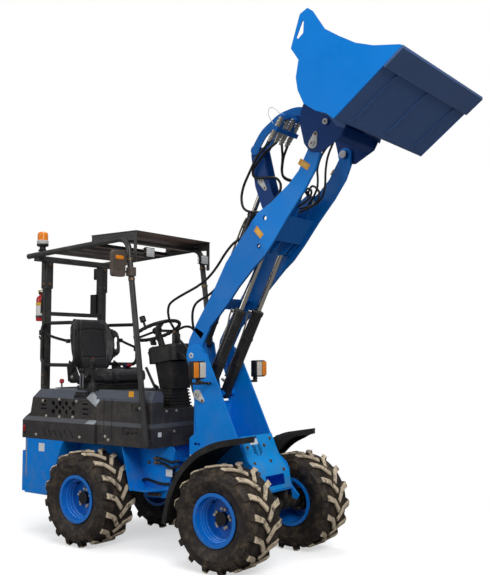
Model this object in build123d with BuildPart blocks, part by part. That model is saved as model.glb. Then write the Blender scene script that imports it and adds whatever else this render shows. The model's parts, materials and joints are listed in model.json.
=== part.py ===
"""Compact articulated wheel loader: canopy, raised loader arms, quick hitch and bucket.

Millimetres. +X forward, +Y to the left, +Z up, origin on the ground under the middle of the machine.
Outlines in the side view are lists of (x, z) corners, rounded by a sketch fillet.
"""

import os
from math import hypot

from build123d import *

os.makedirs("parts", exist_ok=True)

# ---------------------------------------------------------------- driving dimensions
wheelbase = 1240.0
pivot_x = -280.0                      # upright steering hinge between the two frames
front_axle_x = pivot_x + wheelbase / 2
rear_axle_x = pivot_x - wheelbase / 2

tyre_radius = 330.0                   # to the lug tips
tyre_width = 305.0
carcass_radius = 306.0                # tread face between the lugs
bead_radius = 152.0
rim_flange_radius = 166.0
rim_width = 262.0
wheel_centre_y = 413.0                # half the track
hub_face_inset = 105.0                # wheel disc behind the outer flange
lug_pairs = 16
stud_circle_radius = 60.0
stud_count = 5

tower_inner_y = 183.0
tower_plate = 12.0
arm_outer_y = 180.0
arm_plate = 20.0
tip_spread = 22.0                     # how far the arms kink outwards at their tips
kink_high = (352.0, 2205.0)           # (x, z) ends of the arms' fold line
kink_low = (466.0, 1985.0)
hitch_plate = 12.0
running_gap = 4.0                     # side gap between moving plates

boom_pivot = (-110.0, 1335.0)         # (x, z) of the arms' hinge on the tower
lift_base = (-75.0, 1068.0)
lift_eye = (418.0, 2047.0)
rocker_pivot = (472.0, 2228.0)
rocker_top = (301.0, 2727.0)
rocker_mid = (335.0, 2500.0)
hitch_pin = (860.0, 2660.0)
hitch_top = (800.0, 2872.0)
lock_pin = (963.0, 2778.0)            # the boss that locks a tool on the hitch
tilt_base = (-175.0, 1420.0)
tip_inner_y = arm_outer_y - arm_plate + tip_spread

lift_barrel_radius = 38.0
lift_rod_radius = 18.0
lift_cylinder_y = 100.0
tilt_barrel_radius = 32.0
rod_gap = 0.3                         # between a rod and its barrel
tilt_rod_radius = 17.0

bucket_width = 1150.0
bucket_side_plate = 10.0
bucket_plate = 10.0
floor_rear = (1225.0, 2672.0)         # rear lower corner of the rolled-back floor
edge_tip = (1660.0, 3004.0)

chassis_y = 200.0                     # outer faces of the rear chassis plates
chassis_plate = 10.0
chassis_top = 700.0
hood_y = 395.0
panel_y = 375.0                       # side panels beside the foot well
hood_rear_x = -1630.0
hood_front_x = -880.0
body_front_x = -335.0
hood_wall = 6.0
bumper_rear_x = -1690.0
tow_pin_radius = 15.0

post_y = 291.0                        # rear canopy posts
post_x = -1545.0
roof_tube_y = 400.0
roof_tube_radius = 21.0


# ---------------------------------------------------------------- shared makers
def side_plate(corners, y_mid, thickness, radius=0.0, mode=Mode.ADD):
    """A plate standing in the side view, centred on y_mid, inside the open part."""
    with BuildSketch(Plane.XZ.offset(-y_mid)) as outline:
        with BuildLine() as edge:
            Polyline(*corners, close=True)
        make_face(edge.line.edges())
        if radius:
            fillet(outline.vertices(), radius)
    extrude(outline.sketch, amount=thickness / 2, both=True, mode=mode)


def cross_bar(x, z, radius, y_low, y_high, mode=Mode.ADD):
    """A round bar or a round hole that lies along Y, inside the open part."""
    with BuildSketch(Plane.XZ.offset(-(y_low + y_high) / 2)) as section:
        with Locations((x, z)):
            Circle(radius)
    extrude(section.sketch, amount=(y_high - y_low) / 2, both=True, mode=mode)


def block(x_low, x_high, y_low, y_high, z_low, z_high, mode=Mode.ADD):
    """A box between six faces, inside the open part."""
    with Locations(((x_low + x_high) / 2, (y_low + y_high) / 2, (z_low + z_high) / 2)):
        Box(x_high - x_low, y_high - y_low, z_high - z_low, mode=mode)


def tube(points, bend, radius, mode=Mode.ADD, closed=False):
    """A round tube along straight runs joined by arcs, inside the open part."""
    with BuildLine() as path:
        if len(points) > 2:
            FilletPolyline(*points, radius=bend, close=closed)
        else:
            Polyline(*points)
    with BuildSketch(Plane(origin=path.line @ 0, z_dir=path.line % 0)) as section:
        Circle(radius)
    sweep(section.sketch, path=path.line, mode=mode)


def bent_sheet(points, bend, thickness, y_mid, width, mode=Mode.ADD):
    """A folded plate: its line in the side view thickened both ways and drawn out along Y."""
    with BuildSketch(Plane.XZ.offset(-y_mid)) as outline:
        with BuildLine() as fold:
            FilletPolyline(*points, radius=bend)
        trace(fold.line.edges(), line_width=thickness)
    extrude(outline.sketch, amount=width / 2, both=True, mode=mode)


def rod_between(low, high, y, radius, mode=Mode.ADD):
    """A round rod in the plane y, from one (x, z) place to another, inside the open part."""
    start = Vector(low[0], y, low[1])
    end = Vector(high[0], y, high[1])
    with BuildSketch(Plane(origin=start, z_dir=end - start)) as section:
        Circle(radius)
    extrude(section.sketch, amount=(end - start).length, mode=mode)


def along(start, end, distance):
    """The (x, z) place at a distance from start towards end."""
    length = hypot(end[0] - start[0], end[1] - start[1])
    share = distance / length
    return (start[0] + (end[0] - start[0]) * share, start[1] + (end[1] - start[1]) * share)


def save(holder, name):
    """Labels a finished part and writes its file."""
    holder.part.label = name
    export_step(holder.part, f"parts/{name}.step")


# ---------------------------------------------------------------- wheels
wheels = [
    # (name, axle x, side)
    ("front_right", front_axle_x, -1),
    ("front_left", front_axle_x, 1),
    ("rear_right", rear_axle_x, -1),
    ("rear_left", rear_axle_x, 1),
]
axle_z = tyre_radius
# each lug corner: (along the tread, across it)
lug_corners = [(118, 8), (50, 66), (20, 151), (-20, 151), (22, 54), (96, -8)]
lugs = {}
for flank in (1, -1):
    with BuildPart() as lug:
        with BuildSketch(Plane.XY.offset(carcass_radius - 26)) as foot:
            with BuildLine() as edge:
                Polyline(*[(x, flank * y) for x, y in lug_corners], close=True)
            make_face(edge.line.edges())
        extrude(foot.sketch, amount=tyre_radius - carcass_radius + 26)
        with BuildSketch(Plane.YZ) as envelope:
            with BuildLine() as edge:
                Polyline((-151, 100), (-151, 288), (-126, tyre_radius), (126, tyre_radius), (151, 288),
                (151, 100),
                         close=True)
            make_face(edge.line.edges())
        revolve(envelope.sketch, axis=Axis.Y, mode=Mode.INTERSECT)
    lugs[flank] = lug

for wheel_name, axle_x, side in wheels:
    centre = Vector(axle_x, side * wheel_centre_y, axle_z)
    centre_place = Location(centre)
    outward = Plane(origin=centre, x_dir=(1, 0, 0), z_dir=(0, side, 0))

    with BuildPart() as tyre:
        half = tyre_width / 2
        with BuildSketch(Plane(origin=centre, x_dir=(0, side, 0), z_dir=(1, 0, 0))) as section:
            with BuildLine() as edge:
                Polyline(
                    (-rim_width / 2 + 20, bead_radius - 0.5),
                    (-half + 14, bead_radius + 52),
                    (-half, 240),
                    (-half + 6, 282),
                    (-half + 34, carcass_radius),
                    (half - 34, carcass_radius),
                    (half - 6, 282),
                    (half, 240),
                    (half - 14, bead_radius + 52),
                    (rim_width / 2 - 20, bead_radius - 0.5),
                    close=True,
                )
            make_face(edge.line.edges())
        revolve(section.sketch, axis=Axis(centre, (0, 1, 0)))
        for flank, turned in ((1, 0.0), (-1, 180 / lug_pairs)):
            spots = [centre_place * Rotation(0, turned + 360 / lug_pairs * n, 0) for n in range(lug_pairs)]
            with Locations(*spots):
                add(lugs[flank].part)
    save(tyre, f"{wheel_name}_tyre")

    with BuildPart() as rim:
        face = rim_width / 2 - hub_face_inset + 6
        with BuildSketch(Plane(origin=centre, x_dir=(0, side, 0), z_dir=(1, 0, 0))) as section:
            with BuildLine() as edge:
                Polyline(
                    (-rim_width / 2, rim_flange_radius),
                    (-rim_width / 2, bead_radius - 8),
                    (-60, 128),
                    (face - 8, 120),
                    (face - 8, 0),
                    (face, 0),
                    (face, 122),
                    (60, 132),
                    (rim_width / 2, bead_radius - 8),
                    (rim_width / 2, rim_flange_radius),
                    (rim_width / 2 - 8, rim_flange_radius),
                    (rim_width / 2 - 14, bead_radius),
                    (60, bead_radius - 8),
                    (-60, bead_radius - 8),
                    (-rim_width / 2 + 14, bead_radius),
                    (-rim_width / 2 + 8, rim_flange_radius),
                    close=True,
                )
            make_face(edge.line.edges())
        revolve(section.sketch, axis=Axis(centre, (0, 1, 0)))
        with BuildSketch(outward.offset(face)) as hub:
            Circle(42)
        extrude(hub.sketch, amount=30)
        with BuildSketch(outward.offset(face)) as nuts:
            with PolarLocations(stud_circle_radius, stud_count):
                RegularPolygon(11, 6)
        extrude(nuts.sketch, amount=12)
    save(rim, f"{wheel_name}_rim")

frame_floor = axle_z + 110
for axle_name, axle_x in (("front_axle", front_axle_x), ("rear_axle", rear_axle_x)):
    hub_y = wheel_centre_y + rim_width / 2 - hub_face_inset - 2 - 0.3
    with BuildPart() as axle:
        cross_bar(axle_x, axle_z, 45, -hub_y + 40, hub_y - 40)
        for side in (-1, 1):
            ends = sorted((side * (hub_y - 60), side * hub_y))
            cross_bar(axle_x, axle_z, 75, *ends)
        with Locations((axle_x, 0, axle_z)):
            Sphere(105)
        for side in (-1, 1):
            ends = sorted((side * 145, side * 182))
            block(axle_x - 60, axle_x + 60, *ends, axle_z, frame_floor + 0.7)
    save(axle, axle_name)

# ---------------------------------------------------------------- rear chassis
tub_front_x = -1205.0                 # upper end of the rear tub, over the tyre
tub_low_x = -1383.0
tub_mid_x = -1318.0
tub_y = 400.0
tub_floor = 290.0
chassis_side = [
    (hood_rear_x, chassis_top), (hood_rear_x, tub_floor), (tub_low_x, tub_floor), (tub_mid_x, frame_floor),
    (-600, frame_floor), (-560, 335), (-367, 347), (-312, 502), (-282, 676), (-300, chassis_top),
]
tub_wall = 6.0
tub_side = [
    (hood_rear_x, chassis_top), (hood_rear_x, tub_floor), (tub_low_x, tub_floor),
    (tub_front_x, chassis_top),
]
tub_hollow = [
    (hood_rear_x + tub_wall, chassis_top + 1), (hood_rear_x + tub_wall, tub_floor + tub_wall),
    (tub_low_x - tub_wall, tub_floor + tub_wall), (tub_front_x - tub_wall, chassis_top + 1),
]
ear_radius = 60.0
hinge_pin_radius = 20.0
rear_ears = ((380, 400), (585, 605))
with BuildPart() as rear_chassis:
    for side in (-1, 1):
        side_plate(chassis_side, side * (chassis_y - chassis_plate / 2), chassis_plate)
        side_plate(tub_side, side * (chassis_y + tub_y) / 2, tub_y - chassis_y + 1)
        hollow_width = tub_y - tub_wall - chassis_y
        side_plate(tub_hollow, side * (chassis_y + hollow_width / 2), hollow_width, mode=Mode.SUBTRACT)
    inside = chassis_y - chassis_plate
    block(hood_rear_x + 1, hood_rear_x + 10, -inside - 2, inside + 2, tub_floor + 1, chassis_top - 1)
    block(hood_rear_x + 8, tub_low_x - 2, -inside - 2, inside + 2, tub_floor + 1, tub_floor + 7)
    block(tub_mid_x + 2, -604, -inside - 2, inside + 2, frame_floor + 1, frame_floor + 9)
    tub_rise = [
        (tub_low_x - 3, tub_floor + 1), (tub_mid_x + 3, frame_floor + 9),
        (tub_mid_x + 9, frame_floor + 5), (tub_low_x + 3, tub_floor + 1),
    ]
    side_plate(tub_rise, 0, 2 * inside + 4)
    block(-550, -391, -inside - 2, inside + 2, 341, 351)
    for low, high in rear_ears:
        block(-396, pivot_x, -ear_radius + 0.5, ear_radius - 0.5, low, high)
        with Locations((pivot_x, 0, (low + high) / 2)):
            Cylinder(ear_radius, high - low)
            Cylinder(hinge_pin_radius + 0.05, high - low, mode=Mode.SUBTRACT)
    block(-400, -388, -inside - 2, inside + 2, 346, 690)
    block(-401, -387, -inside + 7, -60, 455, 530, mode=Mode.SUBTRACT)
    block(-548, -495, -inside - 2, -95, 446, 459)
    for side in (-1, 1):
        with BuildSketch(Plane.XY.offset(400)) as tread:
            with BuildLine() as edge:
                Polyline(
                    (-558, side * (chassis_y - 5)), (-558, side * 350), (-415, side * 350),
                    (-345, side * (chassis_y - 5)), close=True,
                )
            make_face(edge.line.edges())
        extrude(tread.sketch, amount=8)
        side_plate([(-640, 690), (-562, 396), (-554, 396), (-632, 690)], side * (chassis_y + 75), 160)
save(rear_chassis, "rear_chassis")

with BuildPart() as counterweight:
    block(bumper_rear_x, hood_rear_x, -400, 400, 300, 600)
    fillet(counterweight.edges().filter_by(Axis.Z).group_by(Axis.X)[0], 40)
    block(bumper_rear_x, hood_rear_x, -45, 45, 440, 500, mode=Mode.SUBTRACT)
    with Locations((bumper_rear_x + 40, 0, 450)):
        Cylinder(tow_pin_radius, 302, mode=Mode.SUBTRACT)
save(counterweight, "counterweight")

with BuildPart() as engine_block:
    block(-1480, -1000, -180, 180, frame_floor + 9, 960)
save(engine_block, "engine_block")

# ---------------------------------------------------------------- engine hood and floor
hood_top = 1072.0
waist_z = 835.0                       # lower edge of the sloped band round the hood
upper_y = hood_y - 33                 # the hood above the band lies further in
hood_section = [
    (-hood_y, chassis_top), (-hood_y, waist_z), (-upper_y, waist_z + 30), (-upper_y, 1010),
    (-upper_y + 32, hood_top),
    (upper_y - 32, hood_top), (upper_y, 1010), (upper_y, waist_z + 30), (hood_y, waist_z),
    (hood_y, chassis_top),
]
tail_x = bumper_rear_x + 12
hood_profile = [
    (tail_x, chassis_top), (tail_x, 862), (tail_x + 52, 892), (tail_x + 76, 1005), (tail_x + 128, hood_top),
    (hood_front_x, hood_top), (hood_front_x, chassis_top),
]
door_hinge = (tail_x - 12, 371.0)
hinge_heights = (745.0, 825.0)
grille_centre = (-1252.0, 940.0)
grille_pitch = 74.0
with BuildPart() as engine_hood:
    with BuildSketch(Plane.YZ.offset(tail_x)) as section:
        with BuildLine() as edge:
            Polyline(*hood_section, close=True)
        make_face(edge.line.edges())
    extrude(section.sketch, amount=hood_front_x - tail_x)
    side_plate(hood_profile, 0, 2 * hood_y + 2, mode=Mode.INTERSECT)
    block(
        tail_x + hood_wall, hood_front_x - hood_wall, -hood_y + hood_wall, hood_y - hood_wall,
        chassis_top - 1, waist_z, mode=Mode.SUBTRACT,
    )
    block(
        tail_x + 90, hood_front_x - hood_wall, -upper_y + hood_wall, upper_y - hood_wall,
        waist_z - 1, 1000, mode=Mode.SUBTRACT,
    )
    for side in (-1, 1):
        with BuildSketch(Plane.XZ.offset(-side * upper_y)) as grille:
            with GridLocations(grille_pitch, 62, 4, 2):
                with Locations(grille_centre):
                    Rectangle(34, 34, rotation=45)
            with Locations((grille_centre[0], grille_centre[1])):
                with GridLocations(grille_pitch, 1, 3, 1):
                    Rectangle(30, 30, rotation=45)
            for row in (-36, 0, 36):
                with Locations((-1475, 955 + row * 0.8), (-1010, 940 + row)):
                    Rectangle(58, 12)
        extrude(grille.sketch, amount=12, both=True, mode=Mode.SUBTRACT)
        with BuildSketch(Plane.XZ.offset(-side * hood_y)) as louvres:
            with GridLocations(60, 1, 6, 1):
                with Locations((-1270, 752)):
                    Rectangle(12, 62, rotation=38)
        extrude(louvres.sketch, amount=12, both=True, mode=Mode.SUBTRACT)
    for z in hinge_heights:
        for low, high in ((z - 30, z - 16), (z + 16, z + 30)):
            block(door_hinge[0], tail_x + 4, door_hinge[1] - 8, door_hinge[1] + 4, low, high)
            with Locations((*door_hinge, (low + high) / 2)):
                Cylinder(9, high - low)
        with Locations((*door_hinge, z)):
            Cylinder(5, 60)
save(engine_hood, "engine_hood")

with BuildPart() as rear_door:
    block(tail_x - 12, tail_x - 2, -door_hinge[1] + 10, door_hinge[1] - 9.5, chassis_top + 6, 856)
    for z in hinge_heights:
        block(door_hinge[0], tail_x - 2, door_hinge[1] - 14, door_hinge[1], z - 15.7, z + 15.7)
        with Locations((*door_hinge, z)):
            Cylinder(9, 31.4)
            Cylinder(5.05, 31.4, mode=Mode.SUBTRACT)
save(rear_door, "rear_door")

floor_top = chassis_top + 20
console_inner_y = 262.0
console_section = [
    (-panel_y, floor_top - 1), (-panel_y, 1030), (-panel_y + 26, 1085), (-console_inner_y - 20, 1085),
    (-console_inner_y, 1060), (-console_inner_y, floor_top - 1),
]
with BuildPart() as floor_deck:
    block(hood_front_x, body_front_x, -panel_y, panel_y, chassis_top, floor_top)
    with BuildSketch(Plane.YZ.offset(hood_front_x + 0.3)) as section:
        with BuildLine() as edge:
            Polyline(*console_section, close=True)
        make_face(edge.line.edges())
    extrude(section.sketch, amount=body_front_x - hood_front_x - 0.3)
    side_plate([(-420, 715), (-420, 960), (body_front_x, 960), (body_front_x, 715)], 37, 596)
    with BuildSketch(Plane.XZ.offset(panel_y)) as pocket:
        with Locations((-525, 800)):
            RectangleRounded(188, 62, 12)
        with Locations((-477, 965)):
            RectangleRounded(110, 62, 8)
    extrude(pocket.sketch, amount=8, both=True, mode=Mode.SUBTRACT)
save(floor_deck, "floor_deck")

with BuildPart() as steering_console:
    block(-545, -420.3, -135, 135, floor_top, 962)
    for step in range(6):
        low = 960.3 + step * 23
        block(-540 + step * 3, -398 - step * 2, -118 + step * 4, 118 - step * 4, low - (step > 0), low + 11)
        block(-530 + step * 3, -408 - step * 2, -108 + step * 4, 108 - step * 4, low + 10, low + 23)
    with BuildSketch(Plane.XY.offset(1096)) as waist:
        with Locations((-462, 0)):
            RectangleRounded(150, 200, 30)
    with BuildSketch(Plane.XY.offset(1290)) as shoulder:
        with Locations((-470, 0)):
            RectangleRounded(200, 250, 40)
    loft([waist.sketch.face(), shoulder.sketch.face()])
    with BuildSketch(Plane(origin=(-475, 0, 1285), x_dir=(1, 0, 0.14), z_dir=(-0.14, 0, 1))) as cap:
        RectangleRounded(270, 300, 60)
    extrude(cap.sketch, amount=120)
    fillet(steering_console.faces().sort_by(Axis.Z)[-1].edges(), 24)
save(steering_console, "steering_console")

wheel_hub = (-640.0, 1515.0)
wheel_tilt = -24.0
with BuildPart() as steering_wheel:
    with Locations(Location((wheel_hub[0], 0, wheel_hub[1]), (0, wheel_tilt, 0))):
        Torus(172, 13)
        Cylinder(34, 30)
        for turn in (90, 210, 330):
            with Locations(Location((0, 0, 0), (0, 0, turn)) * Location((85, 0, 0))):
                Box(160, 26, 10)
        with Locations((0, 0, -71)):
            Cylinder(24, 118)
        with Locations((40, -166, 12)):
            Cylinder(9, 40, align=(Align.CENTER, Align.CENTER, Align.MIN))
            with Locations((0, 0, 38)):
                Cylinder(22, 38, align=(Align.CENTER, Align.CENTER, Align.MIN))
save(steering_wheel, "steering_wheel")

with BuildPart() as joystick:
    with Locations((-985, -318, hood_top)):
        Cone(46, 24, 62, align=(Align.CENTER, Align.CENTER, Align.MIN))
    with Locations((-985, -318, hood_top + 55)):
        Cylinder(9, 110, align=(Align.CENTER, Align.CENTER, Align.MIN))
    with Locations((-985, -318, hood_top + 160)):
        Cone(16, 25, 60, align=(Align.CENTER, Align.CENTER, Align.MIN))
    with Locations((-985, -318, hood_top + 218)):
        Sphere(25)
save(joystick, "joystick")

# ---------------------------------------------------------------- seat
seat_rear_x = -1340.0
seat_front_x = -900.0
back_foot_x = -1290.0                 # the cushion ends here, in front of the backrest
cushion_low = hood_top + 55
with BuildPart() as seat_base:
    for step in range(3):
        low = hood_top + step * 18
        block(seat_rear_x + 30, seat_front_x - 40, -175, 175, low - (step > 0), low + 10)
        block(seat_rear_x + 42, seat_front_x - 52, -163, 163, low + 9, low + 19)
save(seat_base, "seat_base")

with BuildPart() as seat_cushion:
    with BuildSketch(Plane.XY.offset(cushion_low + 0.3)) as outline:
        with Locations(((back_foot_x + seat_front_x) / 2, 0)):
            RectangleRounded(seat_front_x - back_foot_x, 460, 70)
    extrude(outline.sketch, amount=104)
    fillet(seat_cushion.faces().sort_by(Axis.Z)[-1].edges(), 34)
save(seat_cushion, "seat_cushion")

back_foot = Vector(back_foot_x - 0.5, 0, 1185)
back_lean = Vector(-0.16, 0, 1).normalized()
back_normal = Vector(1, 0, 0.16).normalized()


def back_point(height, forward):
    """An (x, z) place on the backrest, counted up its front face and forward of it."""
    place = back_foot + back_lean * height + back_normal * forward
    return (place.X, place.Z)


back_half = [(140, 0), (165, 75), (236, 190), (240, 290), (172, 468)]
wing_half = [(110, 72), (200, 45), (240, -5), (240, -85), (206, -85), (196, -30), (140, 0)]
wing_side = [(0, -75), (0, 0), (62, 0), (150, 86), (330, 86), (440, 12), (469, 0), (469, -60), (420, -75)]
with BuildPart() as seat_back:
    with BuildSketch(Plane(origin=back_foot, x_dir=(0, 1, 0), z_dir=back_lean)) as section:
        with BuildLine() as edge:
            Polyline(*wing_half, *[(-y, depth) for y, depth in reversed(wing_half)], close=True)
        make_face(edge.line.edges())
    extrude(section.sketch, amount=470)
    with BuildSketch(Plane(origin=back_foot, x_dir=(0, 1, 0), z_dir=back_normal)) as outline:
        with BuildLine() as edge:
            FilletPolyline(*back_half, *[(-y, z) for y, z in reversed(back_half)], radius=30, close=True)
        make_face(edge.line.edges())
    extrude(outline.sketch, amount=100, both=True, mode=Mode.INTERSECT)
    side_plate([back_point(*spot) for spot in wing_side], 0, 500, mode=Mode.INTERSECT)
    opening = [back_point(height, forward) for height, forward in ((195, 20), (195, 58), (290, 62), (290, 30))]
    side_plate(opening, 0, 500, mode=Mode.SUBTRACT)
save(seat_back, "seat_back")

# ---------------------------------------------------------------- canopy
roof_bend = 95.0
roof_rear = (-1640.0, 2100.0)
roof_corner = (-560.0, 2162.0)
post_foot = (-358.0, 712.0)
roof_slats = [along(roof_rear, roof_corner, distance) for distance in (290, 430, 570, 710, 980)]


def roof_points(side):
    """The bends of one roof tube, from the rear end to the foot."""
    y = side * roof_tube_y
    return [(x, y, z) for x, z in (roof_rear, roof_corner, post_foot)]


beacon_x = post_x - 15
sleeve_low = 1850.0
with BuildPart() as canopy_frame:
    for side in (-1, 1):
        block(post_x - 25, post_x + 25, side * post_y - 25, side * post_y + 25, hood_top, 2085)
        block(post_x - 32, post_x + 32, side * post_y - 32, side * post_y + 32, sleeve_low, 2070)
        tube(roof_points(side), roof_bend, roof_tube_radius)
        ends = sorted((side * panel_y, side * roof_tube_y))
        block(-385, -345, *ends, chassis_top + 4, chassis_top + 60)
    block(post_x - 30, post_x + 30, -roof_tube_y, roof_tube_y, 2060, 2100)
    block(post_x - 15, post_x + 15, -post_y, post_y, 1640, 1670)
    for x, z in roof_slats:
        block(x - 30, x + 30, -roof_tube_y, roof_tube_y, z - 12, z + 12)
    with Locations((beacon_x, -330, 2100)):
        Cylinder(22, 42, align=(Align.CENTER, Align.CENTER, Align.MIN))
save(canopy_frame, "canopy_frame")

roof_top = 2206.0
with BuildPart() as roof_panel:
    block(-925, -470, -408, 408, roof_top - 6, roof_top)
    for side in (-1, 1):
        side_plate(
            [(-925, 2140), (-925, roof_top - 6), (-470, roof_top - 6), (-470, 1985), (-516, 1985)],
            side * roof_tube_y, 4,
        )
        tube(roof_points(side), roof_bend, roof_tube_radius + rod_gap, mode=Mode.SUBTRACT)
    block(-961, -500, -410, 410, 1980, 2140, mode=Mode.SUBTRACT)
save(roof_panel, "roof_panel")

with BuildPart() as beacon:
    with Locations((beacon_x, -330, 2142.3)):
        Cylinder(46, 62, align=(Align.CENTER, Align.CENTER, Align.MIN))
        with Locations((0, 0, 62)):
            Cylinder(41, 92, align=(Align.CENTER, Align.CENTER, Align.MIN))
    fillet(beacon.edges().sort_by(Axis.Z)[-1], 30)
save(beacon, "beacon")

with BuildPart() as work_lamps:
    for side in (-1, 1):
        y_low, y_high = sorted((side * 255, side * 345))
        block(-478, -432, y_low, y_high, 2018, 2092)
        block(-471, -455, side * 300 - 8, side * 300 + 8, 2090, roof_top - 6)
save(work_lamps, "work_lamps")

mirror_y = -505.0
with BuildPart() as side_mirror:
    with BuildSketch(Plane.YZ.offset(-566)) as outline:
        with Locations((mirror_y, 1968)):
            RectangleRounded(118, 182, 22)
    extrude(outline.sketch, amount=34)
    block(-552, -540, mirror_y + 50, -roof_tube_y - roof_tube_radius - 6, 1908, 1922)
    tilted_clamp = along((-547, 2087), (-513, 1837), 172)
    with Locations((tilted_clamp[0], -roof_tube_y, tilted_clamp[1])):
        Cylinder(roof_tube_radius + 14, 60)
    tube(roof_points(-1), roof_bend, roof_tube_radius + rod_gap, mode=Mode.SUBTRACT)
save(side_mirror, "side_mirror")

with BuildPart() as guard_rails:
    for side in (-1, 1):
        y = side * (post_y + 25 + 14 + rod_gap)
        corners = [(-1170, 1258), (-1170, 1578), (post_x, 1578), (post_x, 1258)]
        tube([(x, y, z) for x, z in corners], 55, 14, closed=True)
save(guard_rails, "guard_rails")

with BuildPart() as fire_extinguisher:
    with Locations((post_x - 63.3, -post_y - 5, 1596)):
        Cylinder(38, 175, align=(Align.CENTER, Align.CENTER, Align.MIN))
        with Locations((0, 0, 175)):
            Cone(38, 16, 28, align=(Align.CENTER, Align.CENTER, Align.MIN))
        with Locations((0, 0, 200)):
            Cylinder(17, 48, align=(Align.CENTER, Align.CENTER, Align.MIN))
save(fire_extinguisher, "fire_extinguisher")

with BuildPart() as air_intake:
    block(post_x - 90, post_x - 25.3, post_y - 45, post_y + 40, 1672, 1835)
save(air_intake, "air_intake")

# ---------------------------------------------------------------- front frame
tower_side = [
    (-188, 1335), (-133, 1166), (-110, 996), (-95, 812), (-154, 772), (-154, 400), (120, frame_floor),
    (440, frame_floor), (412, 500), (405, 571), (380, 619), (325, 659), (283, 735), (-15, 1350),
]
nose_line = [(262, 800), (326, 660), (380, 606), (414, 540), (424, 452)]
tower_mid_y = tower_inner_y + tower_plate / 2
hinge_tower_radius = 76.0
front_ears = ((402, 422), (563, 583))
front_wall_x = -100.0
tilt_ear_y = 46.0
tilt_ear = [(-175, 1455), (-215, 1425), (-125, 1000), (-60, 1000), (-135, 1420)]
with BuildPart() as front_frame:
    for side in (-1, 1):
        side_plate(tower_side, side * tower_mid_y, tower_plate, 12)
        slot_ends = sorted((side * (tower_inner_y - 1), side * (tower_inner_y + tower_plate + 1)))
        block(-115, -62, *slot_ends, 726, 742, mode=Mode.SUBTRACT)
        side_plate([(395, 470), (440, 450), (486, 400), (470, 372), (436, 380), (424, 441), (380, 446)],
                   side * tower_mid_y, tower_plate)
        ends = sorted((side * tower_inner_y, side * (tower_inner_y + tower_plate)))
        cross_bar(*boom_pivot, hinge_tower_radius, *ends)
        for point, reach in ((boom_pivot, 150), (lift_base, 60)):
            ends = sorted((side * reach, side * tower_inner_y))
            cross_bar(*point, 19.95, *ends)
        side_plate(tilt_ear, side * tilt_ear_y, 12)
    cross_bar(*tilt_base, 19.95, -tilt_ear_y, tilt_ear_y)
    block(front_wall_x, front_wall_x + 12, -tower_inner_y, tower_inner_y, 402, 780)
    block(-125, front_wall_x + 12, -tower_inner_y, tower_inner_y, 780, 1010)
    block(front_wall_x, 430, -tower_inner_y, tower_inner_y, frame_floor + 1, frame_floor + 10)
    for low, high in front_ears:
        block(pivot_x, front_wall_x, -ear_radius, ear_radius, low, high)
        with Locations((pivot_x, 0, (low + high) / 2)):
            Cylinder(ear_radius, high - low)
    with Locations((pivot_x, 0, 492.5)):
        Cylinder(hinge_pin_radius, 240)
    block(-214, front_wall_x, -150, -96, 446, 459)
save(front_frame, "front_frame")

with BuildPart() as nose_panel:
    bent_sheet(nose_line, 150, 6, 0, 2 * (tower_inner_y - rod_gap))
    block(350, 450, -95, 115, 480, 548, mode=Mode.SUBTRACT)
    with BuildSketch(Plane(origin=(262, 0, 800), x_dir=(0, 1, 0), z_dir=(140, 0, 64))) as louvres:
        for side in (-1, 1):
            for step in range(4):
                with Locations((side * 29 - 38, -126 + step * 18)):
                    Rectangle(50, 9, rotation=side * 38)
    extrude(louvres.sketch, amount=20, both=True, mode=Mode.SUBTRACT)
save(nose_panel, "nose_panel")

fender_line = [(500, 828), (360, 806), (190, 728), (50, 598), (-30, 440), (-66, 282)]
fender_thickness = 10.0
fender_in_y = tower_inner_y + tower_plate + rod_gap
fender_out_y = 560.0
fender_plan = [
    (-120, fender_in_y), (410, fender_in_y), (462, 300), (470, 390), (420, 500), (300, fender_out_y),
    (-120, fender_out_y),
]
fender_inside = [(-200, 100), (402, 100), (450, 305), (457, 385), (411, 489), (295, 548), (-200, 548)]
with BuildPart() as front_fenders:
    for side in (-1, 1):
        width = fender_out_y - fender_in_y
        middle = side * (fender_out_y - width / 2)
        with BuildPart(mode=Mode.PRIVATE) as lip:
            bent_sheet([(x + 7, z - 17) for x, z in fender_line], 380, 30, middle, width)
            with BuildSketch() as inside:
                with BuildLine() as edge:
                    Polyline(*[(x, side * y) for x, y in fender_inside], close=True)
                make_face(edge.line.edges())
            extrude(inside.sketch, amount=1000, mode=Mode.SUBTRACT)
        with BuildPart(mode=Mode.PRIVATE) as fender:
            bent_sheet(fender_line, 400, fender_thickness, middle, width)
            add(lip.part)
            with BuildSketch() as plan:
                with BuildLine() as edge:
                    Polyline(*[(x, side * y) for x, y in fender_plan], close=True)
                make_face(edge.line.edges())
            extrude(plan.sketch, amount=1000, mode=Mode.INTERSECT)
        add(fender.part)
save(front_fenders, "front_fenders")

lamp_y = 345.0
with BuildPart() as headlamps:
    for side in (-1, 1):
        with BuildSketch(Plane.YZ.offset(8)) as housing:
            with Locations((side * lamp_y, 1238)):
                RectangleRounded(118, 120, 18)
        extrude(housing.sketch, amount=52)
        with BuildSketch(Plane.YZ.offset(60)) as lens:
            with Locations((side * (lamp_y - 26), 1238)):
                RectangleRounded(62, 104, 12)
        extrude(lens.sketch, amount=8)
        with BuildSketch(Plane.YZ.offset(14)) as indicator:
            with Locations((side * (lamp_y + 38), 1238)):
                RectangleRounded(48, 104, 12)
        extrude(indicator.sketch, amount=54)
        y_low, y_high = sorted((side * (tower_inner_y + tower_plate), side * (lamp_y - 10)))
        block(-14, 38, y_low, y_high, 1140, 1156)
        block(14, 36, side * (lamp_y - 26) - 14, side * (lamp_y - 26) + 14, 1150, 1184)
save(headlamps, "headlamps")

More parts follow.
